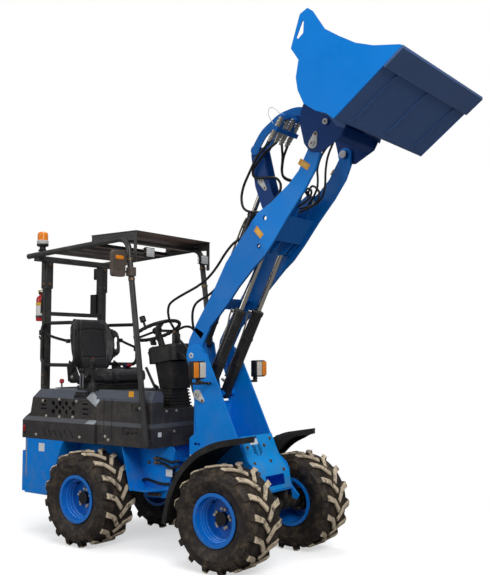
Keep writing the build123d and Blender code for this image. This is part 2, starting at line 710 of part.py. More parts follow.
# ---------------------------------------------------------------- steering cylinder
steer_base = (-520.0, -122.0)
steer_eye = (-190.0, -122.0)
steer_z = 492.0
steer_barrel_length = 212.0
with BuildPart() as steer_barrel:
    with BuildSketch(Plane(origin=(steer_base[0], steer_base[1], steer_z), z_dir=(1, 0, 0))) as section:
        Circle(26)
    extrude(section.sketch, amount=steer_barrel_length)
    with BuildSketch(Plane(origin=(steer_base[0] + 20, steer_base[1], steer_z), z_dir=(1, 0, 0))) as bore:
        Circle(14 + rod_gap)
    extrude(bore.sketch, amount=steer_barrel_length, mode=Mode.SUBTRACT)
    with Locations((*steer_base, 481.3)):
        Cylinder(22, 44)
save(steer_barrel, "steer_barrel")
with BuildPart() as steer_rod:
    start_x = steer_base[0] + 112
    with BuildSketch(Plane(origin=(start_x, steer_base[1], steer_z), z_dir=(1, 0, 0))) as section:
        Circle(14)
    extrude(section.sketch, amount=steer_eye[0] - start_x)
    with Locations((*steer_eye, 482.65)):
        Cylinder(22, 46.7)
save(steer_rod, "steer_rod")

# ---------------------------------------------------------------- loader arms
arm_lower = [
    (kink_high[0] + 8, kink_high[1] + 5), (250, 2085), (144, 1953), (42, 1775), (-113, 1545),
    (-174, 1441), (-184, 1384),
    (-185, 1325), (-40, 1302), (-58, 1402), (12, 1530), (96, 1611), (171, 1689), (252, 1786), (386, 1918),
    (kink_low[0] + 8, kink_low[1] + 5),
]
arm_upper = [
    (kink_high[0], kink_high[1]), (kink_low[0], kink_low[1]), (548, 2080), (658, 2225), (782, 2372),
    (867, 2494),
    (906, 2590), (905, 2668), (815, 2668), (822, 2640), (745, 2507), (669, 2431), (525, 2328), (414, 2271),
]
arm_mid_y = arm_outer_y - arm_plate / 2
fold = Vector(kink_low[0] - kink_high[0], 0, kink_low[1] - kink_high[1]).normalized()
reach = Vector(-fold.Z, 0, fold.X)                   # in the arm's side view, across the fold
tip_reach = (Vector(hitch_pin[0], 0, hitch_pin[1]) - Vector(kink_low[0], 0, kink_low[1])).dot(reach)


def kinked_plane(side):
    """The plane of an upper arm plate, turned outwards about the fold line."""
    lean = side * tip_spread / tip_reach
    tilted = (reach + Vector(0, lean, 0)).normalized()
    origin = Vector(kink_low[0], side * arm_mid_y, kink_low[1])
    return Plane(origin=origin, x_dir=fold, z_dir=fold.cross(tilted))


with BuildPart() as lift_arms:
    for side in (-1, 1):
        side_plate(arm_lower, side * arm_mid_y, arm_plate, 14)
        with BuildSketch(kinked_plane(side)) as outline:
            with BuildLine() as edge:
                corners = [Vector(x - kink_low[0], 0, z - kink_low[1]) for x, z in arm_upper]
                Polyline(*[(corner.dot(fold), corner.dot(reach)) for corner in corners], close=True)
            make_face(edge.line.edges())
        extrude(outline.sketch, amount=arm_plate / 2, both=True)
        ends = sorted((side * (arm_outer_y - arm_plate), side * arm_outer_y))
        cross_bar(*boom_pivot, 74, *ends)
        cross_bar(*boom_pivot, 20, *ends, mode=Mode.SUBTRACT)
        tips = sorted((side * (tip_inner_y), side * (tip_inner_y + arm_plate)))
        cross_bar(*hitch_pin, 48, *tips)
        cross_bar(*hitch_pin, 20, tips[0] - 8, tips[1] + 8, mode=Mode.SUBTRACT)
        for hole in ((418, 2048), (470, 2229)):
            cross_bar(*hole, 16, ends[0] - 12, ends[1] + 12, mode=Mode.SUBTRACT)
    inner_gap = 2 * (arm_outer_y - arm_plate)
    side_plate([(522, 2088), (630, 2236), (638, 2230), (530, 2082)], 0, inner_gap + 16)
    side_plate([(25, 1660), (110, 1720), (116, 1712), (31, 1652)], 0, inner_gap + 6)
    for side in (-1, 1):
        for offset in (-32, 32):
            side_plate(
                [(382, 2040), (440, 2110), (526, 2088), (455, 2012), (410, 2010)],
                side * lift_cylinder_y + offset, 12,
            )
        brace = [(430, 2235), (478, 2285), (640, 2395), (690, 2385), (638, 2234), (524, 2086)]
        side_plate(brace, side * 66, 12)
    cross_bar(*rocker_pivot, 19.95, -66, 66)
    for side in (-1, 1):
        cross_bar(*rocker_pivot, 30, *sorted((side * 60, side * 78)))
save(lift_arms, "lift_arms")

# ---------------------------------------------------------------- lift cylinders
lift_length = hypot(lift_eye[0] - lift_base[0], lift_eye[1] - lift_base[1])
barrel_length = 640.0
barrel_floor = 45.0
lift_rod_start = 425.0
with BuildPart() as lift_barrels:
    for side in (-1, 1):
        y = side * lift_cylinder_y
        rod_between(along(lift_base, lift_eye, 20), along(lift_base, lift_eye, barrel_length), y,
                    lift_barrel_radius)
        cross_bar(*lift_base, 40, y - 25, y + 25)
        cross_bar(*lift_base, 20, y - 25, y + 25, mode=Mode.SUBTRACT)
        rod_between(
            along(lift_base, lift_eye, barrel_floor), along(lift_base, lift_eye, barrel_length + 5),
            y, lift_rod_radius + rod_gap, mode=Mode.SUBTRACT,
        )
save(lift_barrels, "lift_barrels")
with BuildPart() as lift_rods:
    for side in (-1, 1):
        y = side * lift_cylinder_y
        rod_between(
            along(lift_base, lift_eye, lift_rod_start), along(lift_base, lift_eye, lift_length - 20),
            y, lift_rod_radius,
        )
        cross_bar(*lift_eye, 34, y - 20, y + 20)
save(lift_rods, "lift_rods")

# ---------------------------------------------------------------- tilt linkage
rocker_outline = [
    (520, 2262), (462, 2196), (420, 2215), (352, 2330), (296, 2480), (262, 2700), (300, 2766), (348, 2740),
    (392, 2560), (432, 2420),
]
rocker_half = 44.0
with BuildPart() as rocker:
    for side in (-1, 1):
        side_plate(rocker_outline, side * rocker_half, 12, 14)
    for point in (rocker_pivot, rocker_top):
        cross_bar(*point, 34, -rocker_half, rocker_half)
    cross_bar(*rocker_pivot, 20, -50, 50, mode=Mode.SUBTRACT)
    cross_bar(*rocker_top, 20, -50, 50, mode=Mode.SUBTRACT)
save(rocker, "rocker")

link_line = [rocker_top, (372, 2830), (510, 2918), (660, 2946), hitch_top]
link_y = rocker_half + 6 + 1 + 5
with BuildPart() as tilt_link:
    for side in (-1, 1):
        bent_sheet(link_line, 200, 58, side * link_y, 10)
        for point in (rocker_top, hitch_top):
            cross_bar(*point, 34, *sorted((side * (link_y - 5), side * (link_y + 5))))
    for point in ((450, 2880), (600, 2932)):
        cross_bar(*point, 14, -link_y, link_y)
    cross_bar(*rocker_top, 19.95, -link_y, link_y)
save(tilt_link, "tilt_link")

coupler_bar = (504.0, 2838.0)
coupler_reach = 125.0                 # half of the bar's length
coupler_places = (-100.0, -30.0, 30.0, 100.0)
coupler_plane = Plane(origin=(coupler_bar[0], 0, coupler_bar[1]), x_dir=(0, 1, 0), z_dir=(0.57, 0, 0.82))
with BuildPart() as coupler_block:
    with BuildSketch(coupler_plane) as bar:
        Rectangle(2 * coupler_reach, 62)
    extrude(bar.sketch, amount=15, both=True)
    with BuildSketch(coupler_plane) as plugs:
        for y in coupler_places:
            with Locations((y, 0)):
                Circle(14)
    extrude(plugs.sketch, amount=70, both=True)
    for side in (-1, 1):
        side_plate([(484, 2850), (528, 2830), (546, 2900), (520, 2925), (494, 2915)],
                   side * (link_y + 5 + rod_gap + 4), 8)
save(coupler_block, "coupler_block")

tilt_length = hypot(rocker_mid[0] - tilt_base[0], rocker_mid[1] - tilt_base[1])
tilt_barrel_length = 985.0
tilt_rod_start = 760.0
with BuildPart() as tilt_barrel:
    rod_between(along(tilt_base, rocker_mid, 20), along(tilt_base, rocker_mid, tilt_barrel_length), 0,
                tilt_barrel_radius)
    cross_bar(*tilt_base, 34, -34, 34)
    cross_bar(*tilt_base, 20, -34, 34, mode=Mode.SUBTRACT)
    rod_between(
        along(tilt_base, rocker_mid, barrel_floor), along(tilt_base, rocker_mid, tilt_barrel_length + 5),
        0, tilt_rod_radius + rod_gap, mode=Mode.SUBTRACT,
    )
save(tilt_barrel, "tilt_barrel")
with BuildPart() as tilt_rod:
    rod_between(
        along(tilt_base, rocker_mid, tilt_rod_start), along(tilt_base, rocker_mid, tilt_length - 20),
        0, tilt_rod_radius,
    )
    cross_bar(*rocker_mid, 32, -28, 28)
save(tilt_rod, "tilt_rod")

# ---------------------------------------------------------------- quick hitch and bucket
hitch_inner_y = tip_inner_y + arm_plate + running_gap
hitch_outer_y = hitch_inner_y + hitch_plate
with BuildPart() as quick_hitch:
    for side in (-1, 1):
        side_plate(
            [(842, 2608), (800, 2665), (768, 2800), (776, 2880), (800, 2930), (900, 2925),
            (1000, 2790), (1092, 2716),
             (1064, 2668), (925, 2596)], side * (hitch_inner_y + hitch_plate / 2), hitch_plate, 12,
        )
        ends = sorted((side * (tip_inner_y - 12), side * hitch_inner_y))
        cross_bar(*hitch_pin, 19.95, *ends)
        cross_bar(*hitch_pin, 27, *sorted((side * (tip_inner_y - 22), side * (tip_inner_y - 4))))
        cross_bar(*lock_pin, 24, *sorted((side * hitch_outer_y, side * (hitch_outer_y + 10))))
        side_plate(
            [(766, 2862), (772, 2890), (798, 2908), (985, 2822), (975, 2778), (930, 2785), (790, 2838)],
            side * (link_y + 5 + running_gap + 6), 12, 10,
        )
    bent_sheet([(1022, 2656), (1062, 2678), (1072, 2738)], 8, 10, 0, 2 * hitch_inner_y + 4)
    cross_bar(960, 2800, 24, -hitch_inner_y - 2, hitch_inner_y + 2)
save(quick_hitch, "quick_hitch")

side_outline = [
    (1660, 3002), (1225, 2672), (1178, 2711), (1106, 2739), (1025, 2796), (985, 2883), (973, 2960),
    (992, 3063),
    (939, 3142), (1003, 3335), (1056, 3360), (1089, 3335), (1170, 3209), (1263, 3145), (1372, 3079),
    (1484, 3039),
    (1640, 3010),
]
wear_strip_y = (-400.0, 0.0, 400.0)
floor_dir = Vector(edge_tip[0] - floor_rear[0], 0, edge_tip[1] - floor_rear[1]).normalized()


def edge_point(back, up):
    """An (x, z) place counted from the tip along the rolled-back floor and square to it."""
    square_to_floor = Vector(-floor_dir.Z, 0, floor_dir.X)
    place = Vector(edge_tip[0], 0, edge_tip[1]) + floor_dir * back + square_to_floor * up
    return (place.X, place.Z)


wear_strip = [edge_point(-156, 2), edge_point(-500, 2), edge_point(-490, -9), edge_point(-160, -9)]
shell_line = [
    (1648, 3000), (1222, 2677), (1186, 2712), (1106, 2746), (1030, 2801), (991, 2885), (980, 2960),
    (998, 3063), (968, 3108),
]
hand_slot = [(1018, 3291), (1031, 3286), (1026, 3216), (990, 3188), (976, 3201)]
with BuildPart() as bucket:
    for side in (-1, 1):
        middle = side * (bucket_width - bucket_side_plate) / 2
        side_plate(side_outline, middle, bucket_side_plate, 5)
        side_plate(hand_slot, middle, bucket_side_plate + 2, 3, mode=Mode.SUBTRACT)
    bent_sheet(shell_line, 18, bucket_plate, 0, bucket_width - 2 * bucket_side_plate + 4)
    for side in (-1, 1):
        side_plate(
            [(990, 2886), (1030, 2800), (1110, 2744), (1098, 2712), (1040, 2738), (1000, 2790), (955, 2850),
             (950, 2880)],
            side * (hitch_outer_y + rod_gap + 6), 12,
        )
        bracket_ends = sorted((side * hitch_outer_y, side * (hitch_outer_y + 14)))
        cross_bar(*lock_pin, 24 + rod_gap, *bracket_ends, mode=Mode.SUBTRACT)
    for y in wear_strip_y:
        side_plate(wear_strip, y, 22)
save(bucket, "bucket")

with BuildPart() as cutting_edge:
    side_plate(
        [edge_point(-150, -2), edge_point(0, -2), edge_point(-10, -16), edge_point(-150, -16)],
        0, bucket_width,
    )
save(cutting_edge, "cutting_edge")
print("built", len(os.listdir("parts")))
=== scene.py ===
import bmesh
import bpy
import json
import math
from mathutils import Matrix, Vector
from mathutils.bvhtree import BVHTree

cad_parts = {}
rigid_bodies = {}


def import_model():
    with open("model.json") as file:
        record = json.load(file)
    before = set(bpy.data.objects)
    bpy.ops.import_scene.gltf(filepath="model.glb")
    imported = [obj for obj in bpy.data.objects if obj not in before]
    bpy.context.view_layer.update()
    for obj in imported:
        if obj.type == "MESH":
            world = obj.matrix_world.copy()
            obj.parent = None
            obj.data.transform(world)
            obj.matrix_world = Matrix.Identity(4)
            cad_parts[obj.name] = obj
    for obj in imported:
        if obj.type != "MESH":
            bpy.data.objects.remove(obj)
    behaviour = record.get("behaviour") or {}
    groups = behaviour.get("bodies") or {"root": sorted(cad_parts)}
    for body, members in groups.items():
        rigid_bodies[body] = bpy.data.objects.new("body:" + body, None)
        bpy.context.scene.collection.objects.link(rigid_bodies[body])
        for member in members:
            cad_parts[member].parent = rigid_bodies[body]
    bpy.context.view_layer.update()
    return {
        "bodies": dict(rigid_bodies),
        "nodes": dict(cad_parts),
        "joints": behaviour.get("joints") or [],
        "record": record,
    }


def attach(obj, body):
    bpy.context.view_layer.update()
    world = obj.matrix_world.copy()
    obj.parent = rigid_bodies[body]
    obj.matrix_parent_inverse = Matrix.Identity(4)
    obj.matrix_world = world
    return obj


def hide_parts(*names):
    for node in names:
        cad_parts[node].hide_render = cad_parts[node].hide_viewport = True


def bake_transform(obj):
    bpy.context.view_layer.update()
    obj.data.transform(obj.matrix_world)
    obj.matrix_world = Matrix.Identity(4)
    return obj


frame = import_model()
nodes = frame["nodes"]
finishes = {}
print("frame loaded:", len(nodes), "nodes")


# making and placing pieces
def makeObject(name, bm, finishNames=()):
    mesh = bpy.data.meshes.new(name)
    bm.to_mesh(mesh)
    bm.free()
    for finish in finishNames:
        mesh.materials.append(finishes[finish])
    holder = bpy.data.objects.new(name, mesh)
    bpy.context.scene.collection.objects.link(holder)
    return holder


def finishPiece(name, bm, finishNames, body, smoothAngle=32):
    # turns a bmesh into a piece that rides on a body
    piece = makeObject(name, bm, finishNames)
    piece.data.shade_smooth()
    piece.data.set_sharp_from_angle(angle=math.radians(smoothAngle))
    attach(piece, body)
    return piece


def turnTo(direction):
    # the turn that takes +Z to a direction
    return Vector(direction).to_track_quat("Z", "Y").to_matrix().to_4x4()


def facesAt(verts):
    return {face for vert in verts for face in vert.link_faces}


def edgesAt(verts):
    return {edge for vert in verts for edge in vert.link_edges}


def pick(geom, kind):
    return [item for item in geom if isinstance(item, kind)]


def setIndex(faces, index):
    for face in faces:
        face.material_index = index


def soften(bm, edges, offset, index=0, segments=2):
    out = bmesh.ops.bevel(
        bm, geom=list(edges), offset=offset, segments=segments, affect="EDGES", profile=0.5, material=-1)
    setIndex(out["faces"], index)


def addBox(bm, low, high, bevel=0.0, index=0, turn=Matrix()):
    low, high = Vector(low), Vector(high)
    place = Matrix.Translation((low + high) / 2) @ turn
    size = Matrix.Diagonal((*(high - low), 1))
    verts = bmesh.ops.create_cube(bm, size=1, matrix=place @ size)["verts"]
    setIndex(facesAt(verts), index)
    if bevel:
        soften(bm, edgesAt(verts), bevel, index)


def addRod(bm, start, end, radius, sides=24, index=0, bevel=0.0):
    # a round bar between two points
    start, end = Vector(start), Vector(end)
    verts = bmesh.ops.create_cone(
        bm, cap_ends=True, segments=sides, radius1=radius, radius2=radius, depth=(end - start).length,
        matrix=Matrix.Translation((start + end) / 2) @ turnTo(end - start))["verts"]
    setIndex(facesAt(verts), index)
    if bevel:
        rims = [edge for edge in edgesAt(verts) if any(len(face.verts) > 4 for face in edge.link_faces)]
        soften(bm, rims, bevel, index)


# a bolt's parts as shares of its head's radius, and how far it sinks in
boltShape = {"sink": 0.001, "washer": 1.25, "washerTop": 0.2, "headFoot": 0.18, "head": 0.6, "bevel": 0.12}


def addBolt(bm, place, direction, size=0.009, index=0):
    # a hexagon head on a washer, standing on a surface
    out = Vector(direction).normalized()
    base = Vector(place) - out * boltShape["sink"]
    head = base + out * boltShape["sink"]
    addRod(bm, base, head + out * size * boltShape["washerTop"], size * boltShape["washer"], sides=14, index=index)
    head = head + out * size * boltShape["headFoot"]
    addRod(bm, head, head + out * size * boltShape["head"], size, 6, index, size * boltShape["bevel"])


plateSink = 0.0005


def addPlate(bm, corners, normal, thickness, bevel=0.0, index=0):
    # a flat plate: its outline on the surface, thickened along its normal
    out = Vector(normal).normalized()
    face = bm.faces.new([bm.verts.new(Vector(corner) - out * plateSink) for corner in corners])
    face.normal_update()
    if face.normal.dot(out) < 0:
        face.normal_flip()
    made = bmesh.ops.extrude_face_region(bm, geom=[face])
    top = pick(made["geom"], bmesh.types.BMVert)
    bmesh.ops.translate(bm, verts=top, vec=out * (thickness + plateSink))
    face.normal_flip()
    setIndex(facesAt(top) | {face}, index)
    if bevel:
        soften(bm, [edge for edge in edgesAt(top) if all(vert in top for vert in edge.verts)], bevel, index)


def addSidePlate(bm, y, side, outline, thickness, bevel=0.0, index=0):
    # a plate that faces left or right, outlined by x and z
    addPlate(bm, [(x, side * y, z) for x, z in outline], (0, side, 0), thickness, bevel, index)


def addEndPlate(bm, x, way, outline, thickness, bevel=0.0, index=0):
    # a plate that faces front or rear, outlined by y and z
    addPlate(bm, [(x, y, z) for y, z in outline], (way, 0, 0), thickness, bevel, index)


def rectangle(left, low, right, high):
    return [(left, low), (right, low), (right, high), (left, high)]


def roundOutline(points, radii, steps=32):
    # the hull of circles in a plane, as corner points: a tear-drop or slot outline
    if not isinstance(radii, list):
        radii = [radii] * len(points)
    spots = []
    for (u, v), radius in zip(points, radii):
        for step in range(steps):
            angle = 2 * math.pi * step / steps
            spots.append((u + radius * math.cos(angle), v + radius * math.sin(angle)))
    spots.sort()
    hull = []
    for order in (spots, spots[::-1]):
        part = []
        for spot in order:
            while len(part) > 1 and (part[-1][0] - part[-2][0]) * (spot[1] - part[-2][1]) <= (
                part[-1][1] - part[-2][1]
            ) * (spot[0] - part[-2][0]) + 1e-12:
                part.pop()
            part.append(spot)
        hull += part[:-1]
    return hull


def addLathe(bm, centre, axis, profile, sides=32, index=0):
    # a turned shape: (radius, height) steps spun about an axis, closed where the radius is nought
    place = Matrix.Translation(centre) @ turnTo(axis)
    verts = [bm.verts.new(place @ Vector((radius, 0, height))) for radius, height in profile]
    edges = [bm.edges.new(pair) for pair in zip(verts, verts[1:])]
    direction = (place.to_3x3() @ Vector((0, 0, 1))).normalized()
    made = bmesh.ops.spin(
        bm, geom=verts + edges, cent=centre, axis=direction, angle=math.tau, steps=sides, use_merge=True,
        use_duplicate=False)
    allFaces, fresh = set(), facesAt(set(verts) | set(pick(made["geom_last"], bmesh.types.BMVert)))
    while fresh:
        allFaces |= fresh
        fresh = {f for face in fresh for edge in face.edges for f in edge.link_faces} - allFaces
    local = {vert for face in allFaces for vert in face.verts}
    bmesh.ops.remove_doubles(bm, verts=list(local), dist=0.00005)
    kept = [face for face in allFaces if face.is_valid]
    bmesh.ops.recalc_face_normals(bm, faces=kept)
    setIndex(kept, index)


def smoothLine(points, resolution=10):
    # samples a NURBS spline through control points, with no bevel
    curve = bpy.data.curves.new("line", "CURVE")
    curve.dimensions = "3D"
    spline = curve.splines.new("NURBS")
    spline.points.add(len(points) - 1)
    for spot, point in zip(spline.points, points):
        spot.co = (*point, 1)
    spline.order_u = 3
    spline.use_endpoint_u = True
    curve.resolution_u = resolution
    holder = bpy.data.objects.new("line", curve)
    mesh = bpy.data.meshes.new_from_object(holder)
    line = [vert.co.copy() for vert in mesh.vertices]
    bpy.data.objects.remove(holder)
    bpy.data.curves.remove(curve)
    bpy.data.meshes.remove(mesh)
    return line


def addHose(bm, points, radius, sides=10, index=0):
    # a round hose whose centre follows a smooth spline
    line = smoothLine(points)
    across = (line[1] - line[0]).normalized().orthogonal().normalized()
    rings = []
    for number, spot in enumerate(line):
        ahead = line[min(number + 1, len(line) - 1)] - line[max(number - 1, 0)]
        ahead.normalize()
        across = (across - ahead * across.dot(ahead)).normalized()
        other = ahead.cross(across)
        rings.append([
            bm.verts.new(spot + (across * math.cos(a) + other * math.sin(a)) * radius)
            for a in (2 * math.pi * k / sides for k in range(sides))
        ])
    edges = [[bm.edges.new((ring[k], ring[(k + 1) % sides])) for k in range(sides)] for ring in rings]
    for first, second in zip(edges, edges[1:]):
        setIndex(bmesh.ops.bridge_loops(bm, edges=first + second)["faces"], index)
    for ring in (rings[0][::-1], rings[-1]):
        bm.faces.new(ring).material_index = index
    bmesh.ops.recalc_face_normals(bm, faces=list(facesAt([vert for ring in rings for vert in ring])))
    return line


def addParts(bm, values):
    # the boxes, rods, turned shapes and hoses that a piece's values list
    for key, add in (("boxes", addBox), ("rods", addRod), ("turned", addLathe), ("hoses", addHose)):
        for part in values.get(key, ()):
            add(bm, *part)


# finishes
def feed(tree, socket, value):
    if isinstance(value, bpy.types.NodeSocket):
        tree.links.new(value, socket)
    else:
        socket.default_value = value


def wire(tree, kind, *terms, **values):
    # a shader node with its settings made and its inputs fed, in order or by name
    node = tree.nodes.new(kind)
    for key, value in values.items():
        if key not in node.inputs:
            setattr(node, key, value)
    for socket, term in zip(node.inputs, terms):
        feed(tree, socket, term)
    for key, value in values.items():
        if key in node.inputs:
            feed(tree, node.inputs[key], value)
    return node


def objectSpot(tree):
    return tree.nodes.new("ShaderNodeTexCoord").outputs["Object"]


def ramp(tree, source, stops):
    node = wire(tree, "ShaderNodeValToRGB", source)
    for element, (position, tone) in zip(node.color_ramp.elements, stops):
        element.position = position
        element.color = (tone, tone, tone, 1)
    return node.outputs["Color"]


def linear(red, green, blue):
    # a screen colour, 0 to 255, as the shader's linear colour
    tones = []
    for tone in (red, green, blue):
        share = tone / 255
        tones.append(share / 12.92 if share <= 0.04045 else ((share + 0.055) / 1.055) ** 2.4)
    return (*tones, 1)


def mixTones(tree, share, first, second, blendKind="MIX"):
    node = wire(tree, "ShaderNodeMix", data_type="RGBA", blend_type=blendKind)
    for number, value in ((0, share), (6, first), (7, second)):
        feed(tree, node.inputs[number], value)
    return node.outputs[2]


def calc(tree, operation, *terms):
    return wire(tree, "ShaderNodeMath", *terms, operation=operation).outputs[0]


def times(tree, *terms):
    total = terms[0]
    for term in terms[1:]:
        total = calc(tree, "MULTIPLY", total, term)
    return total


def dot(tree, first, second):
    return wire(tree, "ShaderNodeVectorMath", first, second, operation="DOT_PRODUCT").outputs["Value"]


def between(tree, source, low, high, fromOut=0.0, toOut=1.0):
    return wire(tree, "ShaderNodeMapRange", source, low, high, fromOut, toOut,
                interpolation_type="SMOOTHSTEP").outputs["Result"]


finishDefaults = {
    "metal": 0.0, "mottle": 0.12, "mottleScale": 6.0, "dust": 0.0, "dustTone": (150, 135, 115), "dustScale": 9.0,
    "edge": 0.0, "edgeWearAndHighlightTone": (200, 205, 210), "edgeRadius": 0.003, "bump": 0.04, "bumpScale": 500.0,
    "scratch": 0.0, "scratchTone": (120, 130, 140), "dirtTop": None, "roughSpread": 0.12, "coat": 0.0,
    "coatRough": 0.1, "sheen": 0.0, "specular": 0.35, "round": 0.0025, "transmission": 0.0, "glow": 0.0,
}


def makeFinish(name, tone, rough, settings):
    # a surface finish: base colour, soft mottling, dust, scuffs, edges toned for wear and as a painted highlight, and
    # fine bump
    given = {**finishDefaults, **settings}
    finish = bpy.data.materials.new(name)
    finish.use_nodes = True
    tree = finish.node_tree
    tone = linear(*tone)
    shader = tree.nodes["Principled BSDF"]
    for socket, key in (("Metallic", "metal"), ("Coat Weight", "coat"), ("Coat Roughness", "coatRough"),
                        ("Sheen Weight", "sheen"), ("Specular IOR Level", "specular"),
                        ("Transmission Weight", "transmission")):
        shader.inputs[socket].default_value = given[key]
    if given["glow"]:
        shader.inputs["Emission Color"].default_value = tone
        shader.inputs["Emission Strength"].default_value = given["glow"]
    spot = objectSpot(tree)

    def noiseMask(**values):
        return wire(tree, "ShaderNodeTexNoise", Vector=spot, **values).outputs["Fac"]

    broad = noiseMask(Scale=given["mottleScale"], Detail=4.0, Roughness=0.55)
    fine = noiseMask(Scale=given["bumpScale"], Detail=3.0)
    colour = mixTones(tree, 1.0, tone, ramp(tree, broad, [(0.3, 1 - given["mottle"]), (0.7, 1.0)]), "MULTIPLY")
    if given["scratch"]:
        marks = noiseMask(Scale=38.0, Detail=8.0, Roughness=0.75, Distortion=1.5)
        colour = mixTones(tree, between(tree, marks, 0.63, 0.72, 0.0, given["scratch"]), colour,
                          linear(*given["scratchTone"]))
    if given["dust"]:
        grain = noiseMask(Scale=given["dustScale"], Detail=9.0, Roughness=0.7)
        mask = between(tree, grain, 0.42, 0.72, 0.0, given["dust"])
        if given["dirtTop"]:
            height = wire(tree, "ShaderNodeSeparateXYZ", spot).outputs["Z"]
            mask = times(tree, mask, between(tree, height, *given["dirtTop"], 1.0, 0.12))
        colour = mixTones(tree, mask, colour, linear(*given["dustTone"]))
    bump = wire(tree, "ShaderNodeBump", Strength=given["bump"], Distance=0.002, Height=fine)
    if given["edge"] or given["round"]:
        softened = wire(tree, "ShaderNodeBevel", Radius=max(given["edgeRadius"], given["round"]), samples=3)
        feed(tree, bump.inputs["Normal"], softened.outputs["Normal"])
    # edges found from the bevel normal take a tone that is part wear, part painted edge highlight
    if given["edge"]:
        flat = tree.nodes.new("ShaderNodeNewGeometry").outputs["Normal"]
        rim = between(tree, dot(tree, flat, softened.outputs["Normal"]), 0.985, 0.86)
        rim = times(tree, rim, between(tree, fine, 0.35, 0.6, 0.35, 1.0), given["edge"])
        colour = mixTones(tree, rim, colour, linear(*given["edgeWearAndHighlightTone"]))
    spread = given["roughSpread"]
    roughness = between(tree, broad, 0.3, 0.7, max(rough - spread, 0.02), min(rough + spread, 1.0))
    for socket, source in (("Base Color", colour), ("Roughness", roughness), ("Normal", bump.outputs["Normal"])):
        feed(tree, shader.inputs[socket], source)
    finishes[name] = finish
    return finish


# camera, light and floor
stageValues = {
    "cameraPlace": (3.589, -4.568, 1.358), "heading": 126.79, "pitch": 4.42, "roll": 0.03, "lens": 34.735,
    "worldTone": 0.3, "worldColour": (0.93, 0.95, 1.0, 1), "floorFade": (1.4, 2.8),
    "lamps": {
        # name: (place, aimed at, size, power)
        "keyLamp": ((4.5, -3.2, 5.2), (0.1, 0, 1.4), 3.2, 210),
        "fillLamp": ((-2.6, -5.0, 2.6), (-0.4, 0, 0.9), 3.0, 60),
        "topLamp": ((-0.6, 0.6, 6.4), (0, 0, 1.0), 4.0, 150),
    },
}
white = (1, 1, 1, 1)


def makeFloorFinish(values):
    # pale to the camera with the machine's shadow on it, and a mid grey to everything else
    pale = bpy.data.materials.new("paleFloor")
    pale.use_nodes = True
    tree = pale.node_tree
    tree.nodes.clear()
    grey = wire(tree, "ShaderNodeBsdfDiffuse", Color=(0.3, 0.3, 0.3, 1))
    bright = wire(tree, "ShaderNodeBsdfDiffuse", Color=(0.8, 0.8, 0.8, 1))
    lift = wire(tree, "ShaderNodeEmission", Color=white, Strength=0.56)
    both = wire(tree, "ShaderNodeAddShader", bright.outputs[0], lift.outputs[0])
    far = wire(tree, "ShaderNodeEmission", Color=white, Strength=1.0)
    reach = wire(tree, "ShaderNodeVectorMath", objectSpot(tree), operation="LENGTH").outputs["Value"]
    fade = wire(tree, "ShaderNodeMixShader", between(tree, reach, *values["floorFade"]), both.outputs[0],
                far.outputs[0])
    seen = tree.nodes.new("ShaderNodeLightPath").outputs["Is Camera Ray"]
    mix = wire(tree, "ShaderNodeMixShader", seen, grey.outputs[0], fade.outputs[0])
    wire(tree, "ShaderNodeOutputMaterial", mix.outputs[0])
    return pale


def setStage(values):
    scene = bpy.context.scene
    heading, pitch = math.radians(values["heading"]), math.radians(values["pitch"])
    look = Vector((math.cos(pitch) * math.cos(heading), math.cos(pitch) * math.sin(heading), math.sin(pitch)))
    data = bpy.data.cameras.new("camera")
    data.sensor_fit = "VERTICAL"
    data.sensor_height = 24.0
    data.lens = values["lens"]
    data.clip_end = 60
    camera = bpy.data.objects.new("camera", data)
    camera.location = values["cameraPlace"]
    turn = look.to_track_quat("-Z", "Y").to_matrix().to_4x4()
    camera.rotation_euler = (turn @ Matrix.Rotation(math.radians(values["roll"]), 4, "Z")).to_euler()
    scene.collection.objects.link(camera)
    scene.camera = camera
    scene.view_settings.view_transform = "Standard"

    for name, (place, aim, size, power) in values["lamps"].items():
        lamp = bpy.data.lights.new(name, "AREA")
        lamp.size = size
        lamp.energy = power
        holder = bpy.data.objects.new(name, lamp)
        holder.location = place
        holder.rotation_euler = (Vector(aim) - Vector(place)).to_track_quat("-Z", "Y").to_euler()
        scene.collection.objects.link(holder)

    scene.world = bpy.data.worlds.new("world")
    scene.world.use_nodes = True
    tree = scene.world.node_tree
    tree.nodes.clear()
    soft = wire(tree, "ShaderNodeBackground", Color=values["worldColour"], Strength=values["worldTone"])
    bright = wire(tree, "ShaderNodeBackground", Color=white)
    seen = tree.nodes.new("ShaderNodeLightPath").outputs["Is Camera Ray"]
    mix = wire(tree, "ShaderNodeMixShader", seen, soft.outputs[0], bright.outputs[0])
    wire(tree, "ShaderNodeOutputWorld", mix.outputs[0])

    bm = bmesh.new()
    bmesh.ops.create_grid(bm, x_segments=1, y_segments=1, size=25)
    floor = makeObject("floor", bm)
    floor.data.materials.append(makeFloorFinish(values))


setStage(stageValues)
print("stage set")


# the machine's finishes
def objectAxis(tree, axis, centre=0.0):
    return calc(tree, "SUBTRACT", wire(tree, "ShaderNodeSeparateXYZ", objectSpot(tree)).outputs[axis], centre)


def radialShare(tree, centre, low, high):
    # nought inside a radius about a wheel's axle, one outside it
    across, up = objectAxis(tree, "X", centre[0]), objectAxis(tree, "Z", centre[2])
    square = calc(tree, "ADD", times(tree, across, across), times(tree, up, up))
    return between(tree, calc(tree, "SQRT", square), low, high)


def heightShare(tree, low, high):
    return between(tree, objectAxis(tree, "Z"), low, high)


def sideShare(tree, low, high):
    # by the distance from the machine's middle plane
    return between(tree, calc(tree, "ABSOLUTE", objectAxis(tree, "Y")), low, high)


def heightBand(low, high, blur=0.001):
    return lambda tree: times(tree, heightShare(tree, low - blur, low + blur),
                              heightShare(tree, high + blur, high - blur))


def facing(tree, way):
    # one where a surface faces a direction
    normal = tree.nodes.new("ShaderNodeNewGeometry").outputs["True Normal"]
    return between(tree, dot(tree, normal, way), 0.6, 0.8)


